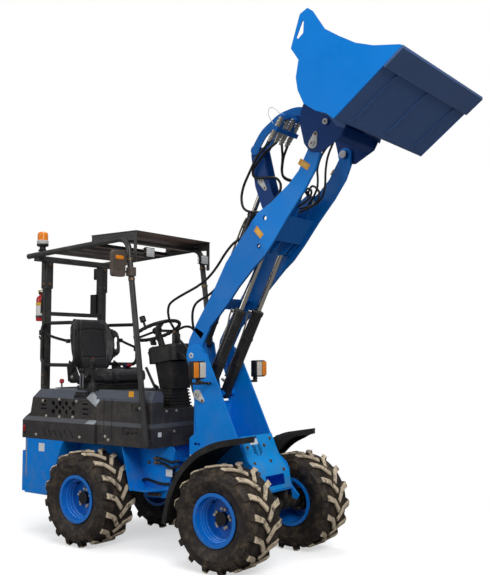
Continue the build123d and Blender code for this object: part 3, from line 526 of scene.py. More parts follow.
def grainMask(tree, scale, low, high):
    grain = wire(tree, "ShaderNodeTexNoise", Vector=objectSpot(tree), Scale=scale, Detail=6.0, Roughness=0.65)
    return between(tree, grain.outputs["Fac"], low, high)


def tint(finish, makeMask, tone, amount=1.0):
    # lays another tone over a finish where a mask is one
    tree = finish.node_tree
    target = tree.nodes["Principled BSDF"].inputs["Base Color"]
    under = target.links[0].from_socket
    share = makeMask(tree)
    if amount < 1:
        share = times(tree, share, amount)
    feed(tree, target, mixTones(tree, share, under, linear(*tone)))


slateBlue = (76, 106, 158)
# the bright blue edge tone here is a painted edge highlight
blueSettings = {
    "mottle": 0.06, "dust": 0.12, "dirtTop": (0.5, 1.5), "edge": 0.45, "edgeWearAndHighlightTone": (90, 160, 220),
    "edgeRadius": 0.004, "scratch": 0.1, "scratchTone": (90, 145, 200), "coat": 0.05, "coatRough": 0.25,
    "bump": 0.03, "specular": 0.14,
}
finishValues = {
    # name: (tone, roughness, settings)
    "bluePaint": ((3, 141, 240), 0.36, blueSettings),
    "lowerBlue": ((4, 138, 238), 0.42, {**blueSettings, "dust": 0.3, "dustTone": (140, 140, 135),
                                        "dirtTop": (0.3, 0.9)}),
    "noseBlue": ((16, 160, 246), 0.4, {**blueSettings, "dust": 0.35, "dirtTop": (0.4, 0.85)}),
    # a darker copy of the blue paint, as painted shade on the hitch and rocker
    "shadedBluePaint": ((14, 66, 134), 0.42, {**blueSettings, "edge": 0.3}),
    "bucketBlue": ((8, 134, 230), 0.36, {**blueSettings, "scratch": 0.2, "edge": 0.6}),
    "rimRing": ((10, 130, 232), 0.22, {**blueSettings, "dust": 0.05, "coat": 0.5, "coatRough": 0.06,
                                       "specular": 0.4}),
    "slatePaint": (slateBlue, 0.42, {
        "mottle": 0.16, "mottleScale": 4.0, "scratch": 0.35, "scratchTone": (110, 122, 145), "edge": 0.55,
        "edgeWearAndHighlightTone": (90, 110, 140), "bump": 0.05, "coat": 0.15}),
    "hoodPaint": ((58, 55, 54), 0.42, {
        "mottle": 0.16, "dust": 0.3, "dustTone": (120, 110, 100), "edge": 0.5, "edgeWearAndHighlightTone": (135, 140, 150),
        "bump": 0.12, "bumpScale": 900.0, "coat": 0.12}),
    "blackPaint": ((34, 33, 33), 0.36, {
        "mottle": 0.2, "dust": 0.25, "dustTone": (95, 88, 80), "edge": 0.35, "edgeWearAndHighlightTone": (110, 108, 105),
        "coat": 0.2}),
    "canopyPaint": ((58, 57, 56), 0.38, {
        "mottle": 0.14, "dust": 0.25, "dustTone": (110, 104, 98), "edge": 0.4, "edgeWearAndHighlightTone": (150, 148, 145),
        "bump": 0.1, "bumpScale": 800.0, "coat": 0.15}),
    "blackPlastic": ((30, 29, 29), 0.5, {
        "mottle": 0.15, "dust": 0.3, "dustTone": (90, 84, 76), "edge": 0.4, "edgeWearAndHighlightTone": (120, 116, 110),
        "bump": 0.15, "bumpScale": 1200.0}),
    "hoseRubber": ((24, 24, 25), 0.42, {
        "mottle": 0.2, "dust": 0.2, "dustTone": (80, 75, 70), "bump": 0.12, "bumpScale": 900.0, "round": 0.0}),
    # the leather's large brown patches stand for dust and for painted brownish highlights
    "seatLeather": ((40, 40, 43), 0.4, {
        "mottle": 0.18, "mottleScale": 7.0, "dust": 0.28, "dustTone": (78, 66, 56), "dustScale": 5.0,
        "roughSpread": 0.1, "bump": 0.0, "round": 0.0, "specular": 0.5, "coat": 0.1, "coatRough": 0.3}),
    "castIron": ((38, 37, 37), 0.55, {"metal": 0.3, "mottle": 0.25, "dust": 0.4, "bump": 0.25, "bumpScale": 260.0}),
    "chrome": ((205, 198, 186), 0.16, {"metal": 1.0, "mottle": 0.08, "roughSpread": 0.05, "bump": 0.0}),
    "zincPlate": ((196, 190, 176), 0.34, {
        "metal": 0.85, "mottle": 0.2, "mottleScale": 60.0, "bump": 0.05, "round": 0.001}),
    "pipeTan": ((176, 158, 132), 0.3, {"metal": 0.7, "mottle": 0.15, "round": 0.0}),
    "keeperPaint": ((226, 226, 222), 0.45, {
        "mottle": 0.12, "dust": 0.25, "edge": 0.4, "edgeWearAndHighlightTone": (150, 145, 135), "round": 0.0015}),
    "boltBrown": ((132, 112, 88), 0.42, {
        "metal": 0.6, "mottle": 0.3, "mottleScale": 80.0, "bump": 0.05, "round": 0.001}),
    "paleBolt": ((214, 206, 192), 0.36, {"metal": 0.5, "mottle": 0.2, "mottleScale": 80.0, "round": 0.001}),
    "bareEdge": ((208, 214, 220), 0.32, {"metal": 0.5, "mottle": 0.15}),
    "redPaint": ((196, 22, 26), 0.25, {"coat": 0.6, "mottle": 0.06}),
    "redPlastic": ((190, 40, 48), 0.35, {"mottle": 0.06}),
    "yellowPlastic": ((226, 190, 30), 0.35, {"mottle": 0.06}),
    "whitePlastic": ((232, 232, 228), 0.35, {"mottle": 0.06, "dust": 0.1}),
    "blueCap": ((40, 120, 205), 0.35, {"mottle": 0.06}),
    "buckleBlue": ((28, 36, 92), 0.4, {}),
    "greyPlastic": ((120, 122, 126), 0.4, {"mottle": 0.1}),
    "orangeLabel": ((240, 170, 40), 0.4, {"mottle": 0.08, "round": 0.0, "dust": 0.15}),
    "labelPale": ((250, 196, 92), 0.45, {"round": 0.0, "mottle": 0.05}),
    "whiteLabel": ((236, 238, 240), 0.4, {"mottle": 0.06, "round": 0.0, "dust": 0.15}),
    "edgeTape": ((176, 168, 158), 0.5, {"mottle": 0.3, "mottleScale": 30.0, "round": 0.0}),
    "mirrorShell": ((92, 80, 72), 0.5, {"mottle": 0.14, "dust": 0.3, "bump": 0.1, "bumpScale": 900.0}),
    "belt": ((22, 22, 24), 0.75, {"mottle": 0.2, "sheen": 0.3, "bump": 0.3, "bumpScale": 700.0, "round": 0.0}),
    "amberLens": ((240, 140, 20), 0.15, {
        "mottle": 0.04, "roughSpread": 0.03, "bump": 0.0, "round": 0.001, "coat": 0.5, "transmission": 0.15,
        "glow": 0.18}),
    "clearLens": ((226, 222, 214), 0.12, {
        "mottle": 0.04, "roughSpread": 0.03, "bump": 0.0, "round": 0.001, "coat": 0.5, "transmission": 0.35,
        "glow": 0.12}),
    "redLens": ((170, 20, 22), 0.15, {"mottle": 0.04, "coat": 0.5}),
    "mirrorGlass": ((215, 220, 225), 0.03, {
        "metal": 1.0, "roughSpread": 0.01, "bump": 0.0, "mottle": 0.02, "round": 0.0}),
    "reflector": ((230, 230, 232), 0.1, {
        "metal": 1.0, "roughSpread": 0.03, "bump": 0.2, "bumpScale": 240.0, "round": 0.0}),
}
for name, look in finishValues.items():
    makeFinish(name, *look)

wheelSpots = {
    "front_right": (0.34, -0.413, 0.33), "front_left": (0.34, 0.413, 0.33),
    "rear_right": (-0.9, -0.413, 0.33), "rear_left": (-0.9, 0.413, 0.33),
}
wheelLooks = {
    "faceY": 0.4465,
    "rubber": ((42, 36, 33), 0.62, {
        "mottle": 0.25, "dust": 0.5, "dustTone": (122, 104, 84), "dustScale": 16.0, "edge": 0.35,
        "edgeWearAndHighlightTone": (170, 150, 125), "bump": 0.25, "bumpScale": 420.0, "edgeRadius": 0.004}),
    "paint": ((8, 122, 222), 0.26, {
        **blueSettings, "dust": 0.14, "dustTone": (120, 122, 125), "dirtTop": None, "coat": 0.5,
        "coatRough": 0.08, "specular": 0.3}),
    "lugTops": (0.317, 0.3235), "lugTone": (236, 216, 186), "dish": (0.128, 0.118), "dishShadeTone": (8, 96, 186),
    "disc": (0.085, 0.08), "discTone": (206, 186, 152), "bore": (0.0445, 0.0435), "boreTone": (14, 14, 16),
}


def coat(nodeNames, finish):
    for name in nodeNames.split():
        nodes[name].data.materials.clear()
        nodes[name].data.materials.append(finishes[finish])


def dressWheels(values):
    for wheel, centre in wheelSpots.items():
        side = -1 if centre[1] < 0 else 1
        rubber = makeFinish(f"{wheel}Rubber", *values["rubber"])
        tint(rubber, lambda tree: times(
            tree, radialShare(tree, centre, *values["lugTops"]), grainMask(tree, 26.0, 0.3, 0.52)),
            values["lugTone"], 0.92)
        coat(f"{wheel}_tyre", f"{wheel}Rubber")
        paint = makeFinish(f"{wheel}RimPaint", *values["paint"])
        # painted shade: the rim's dish is darkened inside its rings
        tint(paint, lambda tree: radialShare(tree, centre, *values["dish"]), values["dishShadeTone"], 0.8)
        for key in ("disc", "bore"):
            tint(paint, lambda tree: times(
                tree, between(tree, times(tree, objectAxis(tree, "Y"), side), values["faceY"] - 0.0005,
                              values["faceY"] + 0.001), radialShare(tree, centre, *values[key])),
                 values[f"{key}Tone"])
        coat(f"{wheel}_rim", f"{wheel}RimPaint")


dressWheels(wheelLooks)
for nodeNames, finish in (
    ("lift_arms front_frame tilt_link coupler_block", "bluePaint"),
    ("rear_chassis counterweight", "lowerBlue"),
    ("nose_panel", "noseBlue"),
    ("quick_hitch rocker", "shadedBluePaint"),
    ("bucket", "bucketBlue"),
    ("cutting_edge", "slatePaint"),
    ("engine_hood rear_door floor_deck", "hoodPaint"),
    ("side_mirror", "mirrorShell"),
    ("canopy_frame roof_panel", "canopyPaint"),
    ("guard_rails lift_barrels tilt_barrel steer_barrel", "blackPaint"),
    ("front_fenders steering_console steering_wheel joystick seat_base headlamps work_lamps air_intake "
     "seat_cushion seat_back", "blackPlastic"),
    ("engine_block front_axle rear_axle", "castIron"),
    ("lift_rods tilt_rod steer_rod", "chrome"),
    ("beacon", "amberLens"),
    ("fire_extinguisher", "redPaint"),
):
    coat(nodeNames, finish)

# the arms' inner faces get a deeper blue as painted shade, and the bucket is slate under its floor and inside
tint(finishes["bluePaint"], lambda tree: times(tree, sideShare(tree, 0.182, 0.178), heightShare(tree, 1.2, 1.5)),
     (14, 62, 128), 0.6)
tint(finishes["bucketBlue"], lambda tree: sideShare(tree, 0.5655, 0.5645), slateBlue)

# the roof's underside is warm with light from the ground
tint(finishes["canopyPaint"], lambda tree: times(
    tree, heightShare(tree, 2.09, 2.10), sideShare(tree, 0.378, 0.372), facing(tree, (0, 0, -1))),
    (168, 134, 118), 0.85)

# the hood's top and its slanting bands catch the sky
tint(finishes["hoodPaint"], heightBand(0.8355, 0.8645), (112, 116, 122), 0.55)
tint(finishes["hoodPaint"], heightBand(1.0105, 1.0850), (104, 112, 126), 0.55)
print("finishes made:", len(bpy.data.materials))


# pins, keepers and labels on the arms, tower and hitch
shield = [(-0.181, 1.383), (-0.109, 1.383), (-0.109, 1.335)]
shield += [(-0.145 + 0.036 * math.cos(a), 1.335 - 0.042 * math.sin(a)) for a in (0.35, 0.8, 1.25, 1.7, 2.3, 2.8)]
shield += [(-0.181, 1.335)]
keeperValues = {
    # name: (body, y of the face, outline, thickness, bevel, pin's x z and radius, bolts' x z, bolt size)
    "towerKeeper": ("front", 0.195, roundOutline([(-0.083, 1.068), (-0.037, 1.028)], [0.033, 0.014]), 0.008, 0.0015,
                    (-0.083, 1.068, 0.01815), [(-0.037, 1.028)], 0.008),
    "hitchKeeper": ("tool", 0.218, roundOutline([(0.866, 2.656), (0.886, 2.714)], [0.032, 0.014]), 0.008, 0.0015,
                    (0.866, 2.656, 0.0176), [(0.886, 2.714)], 0.008),
    "hingeKeeper": ("arms", 0.18, shield, 0.008, 0.0015, (-0.142, 1.332, 0.021),
                    [(-0.163, 1.367), (-0.125, 1.367)], 0.0075),
}
rockerKeeperValues = {
    "rockerKeepers": ("rocker", 0.05, roundOutline([(0.345, 2.512), (0.382, 2.452)], [0.024, 0.012]), 0.006, 0.0012,
                      (0.345, 2.512, 0.014), [(0.379, 2.457)], 0.006),
}
toolPinValues = {
    "lockPin": (0.963, 2.778, 0.019), "lockPinY": 0.228, "collar": (0.86, 0.16, 2.66),
    "collarProfile": [(0, 0.0), (0.024, 0.0), (0.026, 0.003), (0.022, 0.007), (0, 0.008)],
}


def addPinFace(bm, x, z, radius, y, side):
    # the pin's domed end with a blind centre hole, in a keeper or a washer
    addLathe(bm, (x, side * y, z), (0, side, 0), [
        (0, 0.0), (radius, 0.0), (radius, 0.006), (radius - 0.002, 0.009), (radius * 0.42, 0.01),
        (radius * 0.36, 0.004), (0, 0.004)], 28)
    addLathe(bm, (x, side * y, z), (0, side, 0), [(radius * 0.3, 0.0035), (radius * 0.3, 0.006), (0, 0.006)], 16, 1)


def makeKeepers(values):
    for name, (body, y, outline, thickness, bevel, pin, bolts, boltSize) in values.items():
        bm = bmesh.new()
        for side in (-1, 1):
            addSidePlate(bm, y, side, outline, thickness, bevel)
            addPinFace(bm, *pin, y + thickness, side)
            for x, z in bolts:
                addBolt(bm, (x, side * (y + thickness), z), (0, side, 0), boltSize, 1)
        finishPiece(name, bm, ["keeperPaint", "boltBrown"], body)


def makeToolPins(values):
    # the lock pins' bosses and the inner collars
    bm = bmesh.new()
    x, y, z = values["collar"]
    for side in (-1, 1):
        addPinFace(bm, *values["lockPin"], values["lockPinY"], side)
        addLathe(bm, (x, side * y, z), (0, -side, 0), values["collarProfile"], 28, 2)
    finishPiece("toolPins", bm, ["keeperPaint", "boltBrown", "whiteLabel"], "tool")


labelValues = {
    "corners": [
        [(-0.134, 1.51), (-0.11, 1.522), (-0.044, 1.484), (-0.068, 1.448)],
        [(0.38, 2.153), (0.408, 2.184), (0.462, 2.122), (0.433, 2.096)],
        [(0.739, 2.548), (0.762, 2.581), (0.834, 2.529), (0.81, 2.497)],
    ],
    "outerY": 0.215, "cells": 6, "thickness": 0.0006,
    # share of the outline, height over the face, finish
    "layers": [(1.0, 0.0012, 0), (0.62, 0.0019, 1)],
}


def layLabel(bm, values, corners, side, share, lift, index):
    # lays a thin label on the arm's outer face, following it
    arm = nodes["lift_arms"]
    tree = BVHTree.FromObject(arm, bpy.context.evaluated_depsgraph_get())
    inside = arm.matrix_world.inverted()
    first, second, third, fourth = (Vector((x, 0, z)) for x, z in corners)
    cells = values["cells"]
    verts = bmesh.ops.create_grid(bm, x_segments=cells, y_segments=cells, size=0.5)["verts"]
    for vert in verts:
        across, along = vert.co.x * share + 0.5, vert.co.y * share + 0.5
        flat = first.lerp(second, across).lerp(fourth.lerp(third, across), along)
        near = tree.find_nearest(inside @ Vector((flat.x, side * values["outerY"], flat.z)))[0]
        vert.co = Vector((flat.x, (arm.matrix_world @ near).y + side * lift, flat.z))
    faces = facesAt(verts)
    setIndex(faces, index)
    made = bmesh.ops.solidify(bm, geom=list(faces), thickness=values["thickness"])["geom"]
    bmesh.ops.recalc_face_normals(bm, faces=pick(made, bmesh.types.BMFace))


def makeLabels(values):
    # blank coloured label plates, each given by its corners on a face
    bm = bmesh.new()
    for corners in values["corners"]:
        for side in (-1, 1):
            for layer in values["layers"]:
                layLabel(bm, values, corners, side, *layer)
    finishPiece("armLabels", bm, ["orangeLabel", "labelPale"], "arms")


makeKeepers(keeperValues)
makeToolPins(toolPinValues)
makeKeepers(rockerKeeperValues)
makeLabels(labelValues)
print("keepers and labels made")


# hydraulic hoses: the bodies they run between, their points, where the bend runs (not used) and whether they are thin
loopTurn, leftTurn, innerTurn = (-0.449, -0.095, 1.64), (0.296, -0.096, 2.592), (0.3, -0.072, 2.6)
rightTurn, farTurn = (0.416, 0.1, 2.618), (0.432, 0.074, 2.618)
hoseValues = {
    "radius": 0.0088, "thinRadius": 0.0072,
    "runs": {
        # from the console's union over the steering hinge, then up the rear edge of the right arm
        "loopHoseLower": ("rear front", [
            (-0.43, -0.03, 1.505), (-0.436, -0.062, 1.545), (-0.449, -0.085, 1.59), loopTurn]),
        "loopHoseUpper": ("front arms", [
            loopTurn, (-0.446, -0.1, 1.69), (-0.38, -0.112, 1.728), (-0.256, -0.125, 1.772), (-0.14, -0.132, 1.812),
            (-0.04, -0.134, 1.868), (0.04, -0.134, 1.945), (0.11, -0.134, 2.035), (0.2, -0.138, 2.11),
            (0.33, -0.142, 2.15)], ((-0.4, -0.112, 1.72), (0.0, -0.134, 1.9))),
        "crossHose": ("rear front", [
            (-0.425, -0.02, 1.515), (-0.37, -0.045, 1.528), (-0.3, -0.07, 1.54), (-0.232, -0.08, 1.53),
            (-0.195, -0.078, 1.48), (-0.19, -0.072, 1.425)]),
        "archHose": ("front arms", [
            (-0.19, -0.07, 1.4), (-0.202, -0.098, 1.5), (-0.21, -0.112, 1.61), (-0.18, -0.12, 1.69),
            (-0.1, -0.128, 1.728), (-0.01, -0.13, 1.76), (0.066, -0.142, 1.822)],
            ((-0.205, -0.11, 1.58), (0.0, -0.13, 1.765))),
        "drainHose": ("rear front", [
            (-0.432, -0.04, 1.492), (-0.385, -0.075, 1.47), (-0.31, -0.1, 1.422), (-0.24, -0.112, 1.375),
            (-0.195, -0.125, 1.25), (-0.165, -0.14, 1.13), (-0.113, -0.146, 1.02)]),
        "lowHose": ("rear front", [
            (-0.372, -0.085, 1.352), (-0.335, -0.11, 1.352), (-0.28, -0.125, 1.335), (-0.225, -0.13, 1.29),
            (-0.19, -0.145, 1.2), (-0.16, -0.162, 1.1), (-0.118, -0.166, 1.02)]),
        # from the couplers past the rocker, with a joint where each leaves the rocker's plane
        "leftHoseUpper": ("tilt_link rocker", [
            (0.462, -0.1, 2.766), (0.43, -0.101, 2.735), (0.372, -0.101, 2.69), (0.326, -0.099, 2.64), leftTurn]),
        "leftHoseLower": ("rocker arms", [
            leftTurn, (0.268, -0.095, 2.548), (0.228, -0.094, 2.48), (0.208, -0.093, 2.4), (0.225, -0.092, 2.325),
            (0.29, -0.09, 2.296), (0.37, -0.092, 2.292), (0.455, -0.084, 2.262)]),
        "innerHoseUpper": ("tilt_link rocker", [
            (0.462, -0.03, 2.766), (0.438, -0.046, 2.74), (0.4, -0.066, 2.705), (0.345, -0.072, 2.65), innerTurn]),
        "innerHoseLower": ("rocker arms", [
            innerTurn, (0.284, -0.072, 2.56), (0.32, -0.072, 2.528), (0.4, -0.074, 2.522), (0.486, -0.078, 2.516),
            (0.534, -0.084, 2.466), (0.53, -0.092, 2.4), (0.47, -0.112, 2.336), (0.385, -0.128, 2.272),
            (0.31, -0.134, 2.196), (0.3, -0.142, 2.11)], (innerTurn, (0.5, -0.092, 2.38))),
        "rightHoseUpper": ("tilt_link rocker", [
            (0.462, 0.1, 2.766), (0.448, 0.1, 2.735), (0.424, 0.1, 2.685), rightTurn]),
        "rightHoseLower": ("rocker arms", [
            rightTurn, (0.412, 0.1, 2.575), (0.44, 0.1, 2.535), (0.52, 0.1, 2.506), (0.59, 0.12, 2.46),
            (0.625, 0.155, 2.375)]),
        "farHoseUpper": ("tilt_link rocker", [
            (0.462, 0.03, 2.766), (0.448, 0.052, 2.735), (0.44, 0.074, 2.685), farTurn]),
        "farHoseLower": ("rocker arms", [
            farTurn, (0.428, 0.074, 2.575), (0.456, 0.074, 2.535), (0.536, 0.074, 2.506), (0.59, 0.094, 2.46),
            (0.625, 0.142, 2.375)]),
        # between the upper arms, to the hitch
        "hitchHose": ("arms tool", [
            (0.655, -0.05, 2.29), (0.74, -0.014, 2.3), (0.8, 0.0, 2.35), (0.822, 0.0, 2.43), (0.822, 0.0, 2.53),
            (0.846, 0.0, 2.65), (0.926, 0.0, 2.774)], ((0.822, 0, 2.53), (0.85, 0, 2.68)), True),
        "hitchHoseShort": ("arms tool", [
            (0.66, 0.05, 2.325), (0.742, 0.024, 2.4), (0.756, 0.018, 2.48), (0.745, 0.018, 2.56), (0.8, 0.03, 2.69),
            (0.928, 0.04, 2.786)], ((0.745, 0, 2.56), (0.83, 0, 2.7)), True),
        "gapHoseOne": ("arms", [
            (0.652, 0.05, 2.388), (0.69, 0.024, 2.45), (0.75, 0.0, 2.432), (0.8, -0.02, 2.37), (0.75, -0.034, 2.29),
            (0.65, -0.05, 2.266)], None, True),
        "gapHoseTwo": ("arms", [
            (0.664, -0.052, 2.384), (0.7, -0.03, 2.428), (0.755, -0.05, 2.4), (0.74, -0.07, 2.33),
            (0.664, -0.08, 2.3)], None, True),
        "rodHose": ("arms", [
            (0.066, -0.142, 1.8), (0.11, -0.06, 1.82), (0.19, -0.05, 1.87), (0.26, -0.085, 1.94),
            (0.34, -0.125, 2.02), (0.39, -0.142, 2.07)], None, True),
    },
}


def makeHose(values, name, bodies, points, bend=None, thin=False):
    # a hose that rides on one body, or, when it runs between two, is left in place on neither
    radius = values["thinRadius" if thin else "radius"]
    bodies = bodies.split()
    bm = bmesh.new()
    line = addHose(bm, points, radius)
    if len(bodies) == 1:
        piece = finishPiece(name, bm, ["hoseRubber"], bodies[0])
    else:
        piece = makeObject(name, bm, ["hoseRubber"])
        piece.data.shade_smooth()
        start, end = bend or (points[0], points[-1])
        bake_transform(piece)
        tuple(start)
        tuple(end)
    length = sum((b - a).length for a, b in zip(line, line[1:]))
    tuple(line[0])
    [tuple(spot) for spot in line]


couplerValues = {
    "middles": (-0.1, -0.03, 0.03, 0.1), "x": 0.504, "z": 2.838, "way": (0.57, 0, 0.82), "capped": 2,
    "bodyAt": 0.0155, "tailAt": 0.08, "capAt": 0.0835,
    "body": [(0.0205, 0), (0.0205, 0.008), (0.0165, 0.009), (0.0165, 0.014), (0.019, 0.015), (0.019, 0.022),
             (0.0165, 0.023), (0.0165, 0.028), (0.019, 0.029), (0.019, 0.037), (0.0155, 0.039), (0.0155, 0.047),
             (0.018, 0.048), (0.018, 0.058), (0.0148, 0.06), (0.0148, 0.068)],
    "tail": [(0.0, 0), (0.0142, 0), (0.0142, 0.006), (0.0125, 0.008), (0.0125, 0.018), (0.0, 0.018)],
    "cap": [(0.0, 0), (0.0195, 0), (0.0195, 0.018), (0.0165, 0.022), (0.0, 0.022)],
    "plug": [(0.0, 0), (0.015, 0), (0.015, 0.01), (0.0135, 0.013), (0.0, 0.013)],
    "lanyards": ((-0.106, 0.0), (0.08, 0.03)), "lanyardRadius": 0.0022,
    "lanyardRun": [(0.548, 0, 2.916), (0.52, -0.01, 2.962), (0.47, -0.012, 2.985), (0.448, -0.01, 2.96),
                   (0.456, -0.005, 2.915), (0.486, -0.002, 2.872)],
}


def makeCouplers(values):
    # ribbed couplers above and below the block, with caps and a lanyard
    bm = bmesh.new()
    out = Vector(values["way"]).normalized()
    for number, y in enumerate(values["middles"]):
        base = Vector((values["x"], y, values["z"]))
        for way in (out, -out):
            addLathe(bm, base + way * values["bodyAt"], way, values["body"], 20)
        addLathe(bm, base - out * values["tailAt"], -out, values["tail"], 16)
        capped = number < values["capped"]
        addLathe(bm, base + out * values["capAt"], out, values["cap" if capped else "plug"], 20, int(capped))
    finishPiece("couplers", bm, ["zincPlate", "blueCap"], "tilt_link")
    bm = bmesh.new()
    for middle, shift in values["lanyards"]:
        addHose(bm, [(x + shift, y + middle, z) for x, y, z in values["lanyardRun"]], values["lanyardRadius"], 6)
    finishPiece("capLanyards", bm, ["whitePlastic"], "tilt_link")


cylinderValues = {
    "liftFoot": (-0.075, 0, 1.068), "liftEye": (0.418, 0, 2.047), "liftY": (-0.1, 0.1), "liftRings": (0.22, 0.42),
    # distance up the barrel and reach of each port, radii of its two steps
    "ports": ((0.605, 0.06), (0.075, 0.058)), "portRadii": (0.013, 0.01), "portFoot": 0.03, "portStep": 0.014,
    # the pipe: from which port, distance off the axis and up from that port
    "liftPipe": ((0, 0.068, 0.0), (0, 0.074, -0.03), (0, 0.056, -0.09), (0, 0.048, -0.2), (0, 0.048, -0.36),
                 (1, 0.056, 0.03)), "liftPipeRadius": 0.0055,
    "liftRing": [(0.0385, 0), (0.0415, 0.001), (0.0415, 0.017), (0.0385, 0.018)], "liftGlandAt": 0.612,
    "liftGland": [(0.0385, -0.002), (0.0425, 0.0), (0.0425, 0.024), (0.039, 0.028), (0.0195, 0.0295),
                  (0.0195, 0.031), (0.0192, 0.027)],
    "tiltFoot": (-0.175, 0, 1.42), "tiltEye": (0.335, 0, 2.5), "tiltRings": (0.16, 0.4, 0.64, 0.86),
    "tiltRing": [(0.0325, 0), (0.0355, 0.001), (0.0355, 0.015), (0.0325, 0.016)], "tiltGlandAt": 0.956,
    "tiltGland": [(0.0325, -0.002), (0.0365, 0), (0.0365, 0.026), (0.032, 0.03), (0.0185, 0.031), (0.0182, 0.028)],
    # the pipe: distance up the barrel and share of its offset
    "tiltPipe": ((0.1, 0.75), (0.13, 1), (0.4, 1), (0.7, 1), (0.9, 1), (0.935, 0.75)), "tiltPipeRadius": 0.0065,
    "tiltPipeOff": 0.03,
}


def makeCylinderPipes(values):
    # ports, hard pipes, rings and glands on the lift cylinders
    foot, eye = Vector(values["liftFoot"]), Vector(values["liftEye"])
    way = (eye - foot).normalized()
    square = Vector((way.z, 0, -way.x))
    bm = bmesh.new()
    for y in values["liftY"]:
        base = foot + Vector((0, y, 0))
        ports = [base + way * distance for distance, reach in values["ports"]]
        wide, narrow = values["portRadii"]
        for spot, (distance, reach) in zip(ports, values["ports"]):
            addRod(bm, spot - square * values["portFoot"], spot - square * reach, wide, 6, bevel=0.001)
            addRod(bm, spot - square * reach, spot - square * (reach + values["portStep"]), narrow, 16)
        addHose(bm, [ports[port] - square * off + way * rise for port, off, rise in values["liftPipe"]],
                values["liftPipeRadius"], 8)
        for distance in values["liftRings"]:
            addLathe(bm, base + way * distance, way, values["liftRing"], 32, 1)
        addLathe(bm, base + way * values["liftGlandAt"], way, values["liftGland"], 32, 1)
    finishPiece("liftPipes", bm, ["zincPlate", "blackPaint"], "lift_barrels")

    # the tilt cylinder's pipe, rings and gland
    foot, eye = Vector(values["tiltFoot"]), Vector(values["tiltEye"])
    way = (eye - foot).normalized()
    bm = bmesh.new()
    for distance in values["tiltRings"]:
        addLathe(bm, foot + way * distance, way, values["tiltRing"], 28, 1)
    addLathe(bm, foot + way * values["tiltGlandAt"], way, values["tiltGland"], 28, 1)
    offset = (Vector((0, -1, 0)) - Vector((way.z, 0, -way.x))) * values["tiltPipeOff"]
    addHose(bm, [foot + way * distance + offset * share for distance, share in values["tiltPipe"]],
            values["tiltPipeRadius"], 8)
    finishPiece("tiltPipe", bm, ["pipeTan", "blackPaint"], "tilt_barrel")


unionValues = {
    "console": {
        "boxes": [((-0.452, -0.05, 1.4), (-0.42, 0.01, 1.49), 0.004, 1)],
        "rods": [((-0.436, y, 1.488), (-0.434, y, 1.512), 0.0115, 6, 0, 0.001) for y in (-0.04, -0.022, -0.004)],
    },
    # each union's nut and stub as distances along it, with their radii; then where the arms' unions are and point
    "nut": (-0.006, 0.02, 0.0125), "stub": (0.034, 0.009),
    "arms": (
        ((0.455, -0.084, 2.262), (0.6, 0, -0.6)), ((0.33, -0.142, 2.15), (1, 0, 0.1)),
        ((0.3, -0.142, 2.11), (0, 0, -1)), ((0.066, -0.142, 1.822), (0.5, 0, 0.8)),
        ((0.625, 0.155, 2.375), (0.2, 0, -0.9)), ((0.625, 0.142, 2.375), (0.2, 0, -0.9)),
        ((0.39, -0.142, 2.07), (0.3, 0, 0.9)), ((0.066, -0.142, 1.8), (-0.3, 0, -0.9)),
    ),
}


def makeUnions(values):
    # where the hoses end on the console and the arms
    bm = bmesh.new()
    addParts(bm, values["console"])
    finishPiece("consoleUnion", bm, ["boltBrown", "blackPaint"], "rear")
    bm = bmesh.new()
    for place, direction in values["arms"]:
        spot, away = Vector(place), Vector(direction).normalized()
        foot, top, wide = values["nut"]
        end, narrow = values["stub"]
        addRod(bm, spot + away * foot, spot + away * top, wide, 6, bevel=0.001)
        addRod(bm, spot + away * top, spot + away * end, narrow, 12)
    finishPiece("armUnions", bm, ["zincPlate"], "arms")


for name, run in hoseValues["runs"].items():
    makeHose(hoseValues, name, *run)
makeCouplers(couplerValues)
makeCylinderPipes(cylinderValues)
makeUnions(unionValues)
print("hoses and fittings made")


# seat: padded cushion and back, then their seams, fittings and belt
def bakeMesh(holder):
    graph = bpy.context.evaluated_depsgraph_get()
    return bpy.data.meshes.new_from_object(holder.evaluated_get(graph))


padValues = {
    "voxel": 0.006, "quality": 5, "pressure": 4.0, "frames": 20, "quickShare": 0.6, "seamDepth": 0.0055,
    "seamWidth": 0.006, "facing": 0.35,
}


def swellPad(name, holder, shape, cap, values):
    # evens the mesh, shapes it, and lets cloth under pressure round it out
    remesh = holder.modifiers.new("even", "REMESH")
    remesh.mode = "VOXEL"
    remesh.voxel_size = values["voxel"]
    even = bakeMesh(holder)
    holder.modifiers.clear()
    holder.data = even
    for vert in even.vertices:
        vert.co = shape(vert.co)
    start = [vert.co.copy() for vert in even.vertices]
    cloth = holder.modifiers.new("cloth", "CLOTH")
    cloth.settings.quality = values["quality"]
    cloth.settings.use_pressure = True
    cloth.settings.uniform_pressure_force = values["pressure"]
    cloth.settings.effector_weights.gravity = 0
    cloth.point_cache.frame_end = values["frames"]
    for frame in range(1, values["frames"] + 1):
        bpy.context.scene.frame_set(frame)
    swollen = bakeMesh(holder)
    holder.modifiers.clear()
    for vert, moved, first in zip(even.vertices, swollen.vertices, start):
        move = moved.co - first
        vert.co = first + move * min(1.0, cap / max(move.length, 1e-9))
    bpy.context.scene.frame_set(1)
    smooth = holder.modifiers.new("smooth", "SUBSURF")
    smooth.levels = smooth.render_levels = 1
    bm = bmesh.new()
    bm.from_mesh(bakeMesh(holder))
    bpy.data.objects.remove(holder)
    print("pad rounded out:", name, len(bm.verts))
    return bm


def nearestOnLine(spot, line):
    best = math.inf
    for first, second in zip(line, line[1:]):
        first, second = Vector(first), Vector(second)
        along = second - first
        share = max(0.0, min(1.0, (spot - first).dot(along) / along.length_squared))
        best = min(best, (first + along * share - spot).length)
    return best


